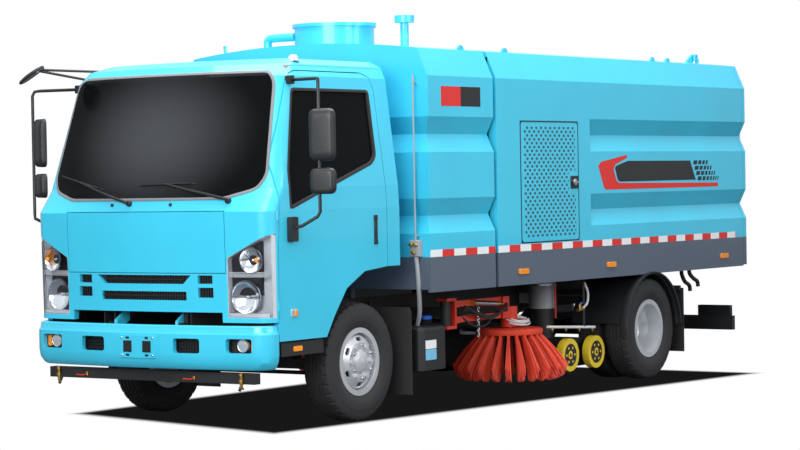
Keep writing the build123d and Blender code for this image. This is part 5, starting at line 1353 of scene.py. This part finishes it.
# %% Pipes, lugs and lips
def lug(x, z=2500):
    """A lifting lug: a tapered plate with a rounded top and a collar round its hole."""
    outline = rounded([(x - 60, z), (x + 60, z), (x + 30, z + 80), (x - 30, z + 80)], 26, 5)
    collar = turned([(-8, 14), (-8, 22), (8, 22), (8, 14)], (x, 950, z + 52), (0, 1, 0), 24)
    return joined(plate(outline, 944, 956), collar)


lip = np.array([(1028, 438), (1052, 438), (1058, 444), (1086, 446), (1090, 438), (1096, 438), (1098, 452),
                (1056, 458), (1028, 452)], float)
LIP_STEPS = 60
angle = np.radians(np.linspace(-4, 178, LIP_STEPS))
lip_points = np.stack([REAR_AXLE + np.cos(angle)[:, None] * lip[:, 1], np.tile(lip[:, 0], (LIP_STEPS, 1)),
                       TYRE_RADIUS + np.sin(angle)[:, None] * lip[:, 1]], axis=-1)
lip_faces = grid_faces(LIP_STEPS, len(lip), wrap_columns=True).tolist()
lip_faces += [tuple(start + np.arange(len(lip))) for start in (0, (LIP_STEPS - 1) * len(lip))]
hoop = [(-700, -744, 2560), (-690, -744, 2618), (-680, -735, 2623), (-670, -712, 2623), (-660, -702, 2618),
        (-660, -702, 2560)]
fill_pipe = [(-900, -500, 2575), (-900, -500, 2650), (-900, -480, 2675), (-900, -400, 2680),
             (-900, -245, 2680)]
sight = [(-650, 985, 2290), (-610, 985, 2300), (-603, 985, 2270), (-603, 985, 1270), (-610, 985, 1240),
         (-650, 985, 1236)]
risers = both_sides(tube([(-3030, 900, 455), (-3030, 900, 800)], 11, 14),
                    tube([(-3030, 640, 700), (-3030, 900, 700)], 10, 14))
housing = plate(box_outline(630, 409, 940, 500, 8), -5476, -5434, "x")
filter_box = plate(box_outline(-646, 1090, -597, 1205, 8), 940, 1015)
side_pipe = tube([(-2490, 900, 488), (-3195, 900, 446)], 11, 14)
lips = metres(lip_points), lip_faces
for name, shape, look, body, slot, bevel in (
        ("tank_hoop", hose(hoop, 6), sky_paint, "chassis", "blue_paint", 0),
        ("tank_filling_pipe", hose(fill_pipe, 30, 20), sky_paint, "chassis", "blue_paint", 0),
        ("tank_lugs", both_sides(lug(-1263)), sky_paint, "chassis", "blue_paint", 0),
        ("hopper_lugs", both_sides(lug(-1854), lug(-4101), lug(-4355)), sky_paint, "hopper", "blue_paint", 0),
        ("sight_tube", hose(sight, 6), duct_grey, "chassis", "grey_duct", 0),
        ("filter_block", filter_box, duct_grey, "chassis", "grey_duct", 0.004),
        ("side_spray_pipes", both_sides(side_pipe), label_white, "chassis", "grey_duct", 0),
        ("side_spray_risers", risers, frame_paint, "chassis", "grey_duct", 0),
        ("rear_lamp_housings", both_sides(housing), black_plastic, "chassis", "black_plastic", 0.003),
        ("fender_lips", both_sides(lips), black_plastic, "chassis", "black_plastic", 0)):
    piece(name, shape, look, body, slot, bevel=bevel)
print("points in a wheel arch's lip", lip_points[..., 0].size)

# %% [markdown]
# ### Nozzle wheels and brush hoses
#
# The nozzle's small wheels have dark hubs with six yellow spots, spot k at the angle k pi / 3.  The water
# hose to each brush is wound loosely: its circle's radius swells and shrinks as it climbs, which a plain
# screw line would not do.

# %% Nozzle wheels and brush hoses
SIXTHS = np.arange(6) * np.pi / 3
AXLE_NUT = [(-40, 0.5), (-40, 13), (40, 13), (44, 9), (44, 0.5)]
for end, x in (("front", -2778), ("rear", -3172)):
    hubs, spots, caps = [], [], []
    for sign in (-1, 1):
        for face in (-1, 1):
            y = sign * 900 + face * 28
            hubs.append(turned([(-3, 30), (1.5, 34), (1.5, 86), (-3, 90)], (x, y, 256), (0, face, 0), 40))
            spots += [turned([(-1, 0.5), (-1, 10), (2.4, 10), (2.4, 0.5)],
                             (x + 60 * np.cos(a), y, 256 + 60 * np.sin(a)), (0, face, 0), 12) for a in SIXTHS]
        caps.append(turned(AXLE_NUT, (x, sign * 900, 256), (0, sign, 0), 6))
    for name, parts, look, slot in (("hubs", hubs, black_plastic, "black_plastic"),
                                    ("hub_holes", spots, nozzle_yellow, "wheel_yellow"),
                                    ("axle_nuts", caps, brass, "steel")):
        piece(f"nozzle_{name}_{end}", joined(*parts), look, f"nozzle_wheels_{end}", slot)

t = np.linspace(0, 2 * np.pi * 3.4, 110)
wide = 112 + 16 * np.sin(0.6 * t)
coil = np.column_stack([-2255 + wide * np.cos(t), 776 + 0.62 * wide * np.sin(t),
                        538 - 22 * np.sin(t) + 1.6 * t])
dark_hoses = [hose([(-1470, 806 + 6 * k, 672 + 12 * k), (-1640, 808 + 8 * k, 644 - 6 * k),
                    (-1830, 806 + 6 * k, 606 - 8 * k), (-2020, 800 + 4 * k, 640 + 6 * k),
                    (-2090, 790, 668 + 8 * k)], 10) for k in range(3)]
pair("water_hose_coil", tube(coil, 5.5, 8), label_white, "brush_carrier_*", "grey_duct")
pair("hydraulic_hoses", joined(*dark_hoses), rubber, "brush_upper_arm_*", "black_plastic")
print("points in the water hose", len(coil))

# %% [markdown]
# ## Stud ends and seats
#
# Stud ends stand in a circle on each wheel's nuts: end k is at the angle 2 pi (k + 1/2) / 6.  The seats
# are stuffed pieces.  A box with round edges would look hard, so each block's surface swells by
# (1 - u^4)(1 - v^4), and it is fullest in the middle.

# %% Stud ends and seats
STUD_CIRCLE, STUDS = 111.0, 6


def stud_tips(x, y, z):
    """Threaded stud ends with a pressed washer, one on each nut of the wheel's circle."""
    angles = 2 * np.pi * (np.arange(STUDS) + 0.5) / STUDS
    return joined(*[turned([(-1, 0.5), (-1, 13), (1.5, 12), (2, 7.5), (8, 7.5), (10, 6), (10, 0.5)],
                           (x + STUD_CIRCLE * np.cos(a), y, z + STUD_CIRCLE * np.sin(a)), (0, 1, 0), 14)
                    for a in angles])


pair("front_stud_tips", stud_tips(0, 950, TYRE_RADIUS), steel, "front_wheel_*", "steel")
pair("rear_stud_tips", stud_tips(REAR_AXLE, 864.5, TYRE_RADIUS), steel, "rear_wheels_*", "steel")


def cushion(low, high, swell, axis, steps=18):
    """A block from low to high, swollen along one axis by swell (1 - u^4)(1 - v^4)."""
    low, high = np.asarray(low, float), np.asarray(high, float)
    u, v = np.meshgrid(*[np.linspace(-1, 1, steps)] * 2)
    soft = (1 - u**4) * (1 - v**4)
    sheets = []
    for level, sign in ((high, 1), (low, -0.25)):
        face = np.zeros((steps, steps, 3))
        for k, w in zip([k for k in range(3) if k != axis], (u, v)):
            face[..., k] = (low[k] + high[k]) / 2 + (high[k] - low[k]) / 2 * np.sin(w * np.pi / 2)
        face[..., axis] = level[axis] + sign * swell * (soft - 1)
        sheets.append(face)
    return shut(*sheets)


for side, y in (("left", 520), ("right", -520)):
    for name, low, high, axis in (("base", (-300, y - 235, 1085.5), (250, y + 235, 1255), 2),
                                  ("back", (-325, y - 225, 1240), (-205, y + 225, 1700), 0),
                                  ("head", (-315, y - 130, 1697), (-225, y + 130, 1848), 0)):
        made = piece(f"seat_{name}_{side}", cushion(low, high, 22, axis), seat_cloth, "cab", "seat_fabric",
                     smooth=60)
        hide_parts("seats")
print("stud ends on a wheel", STUDS)
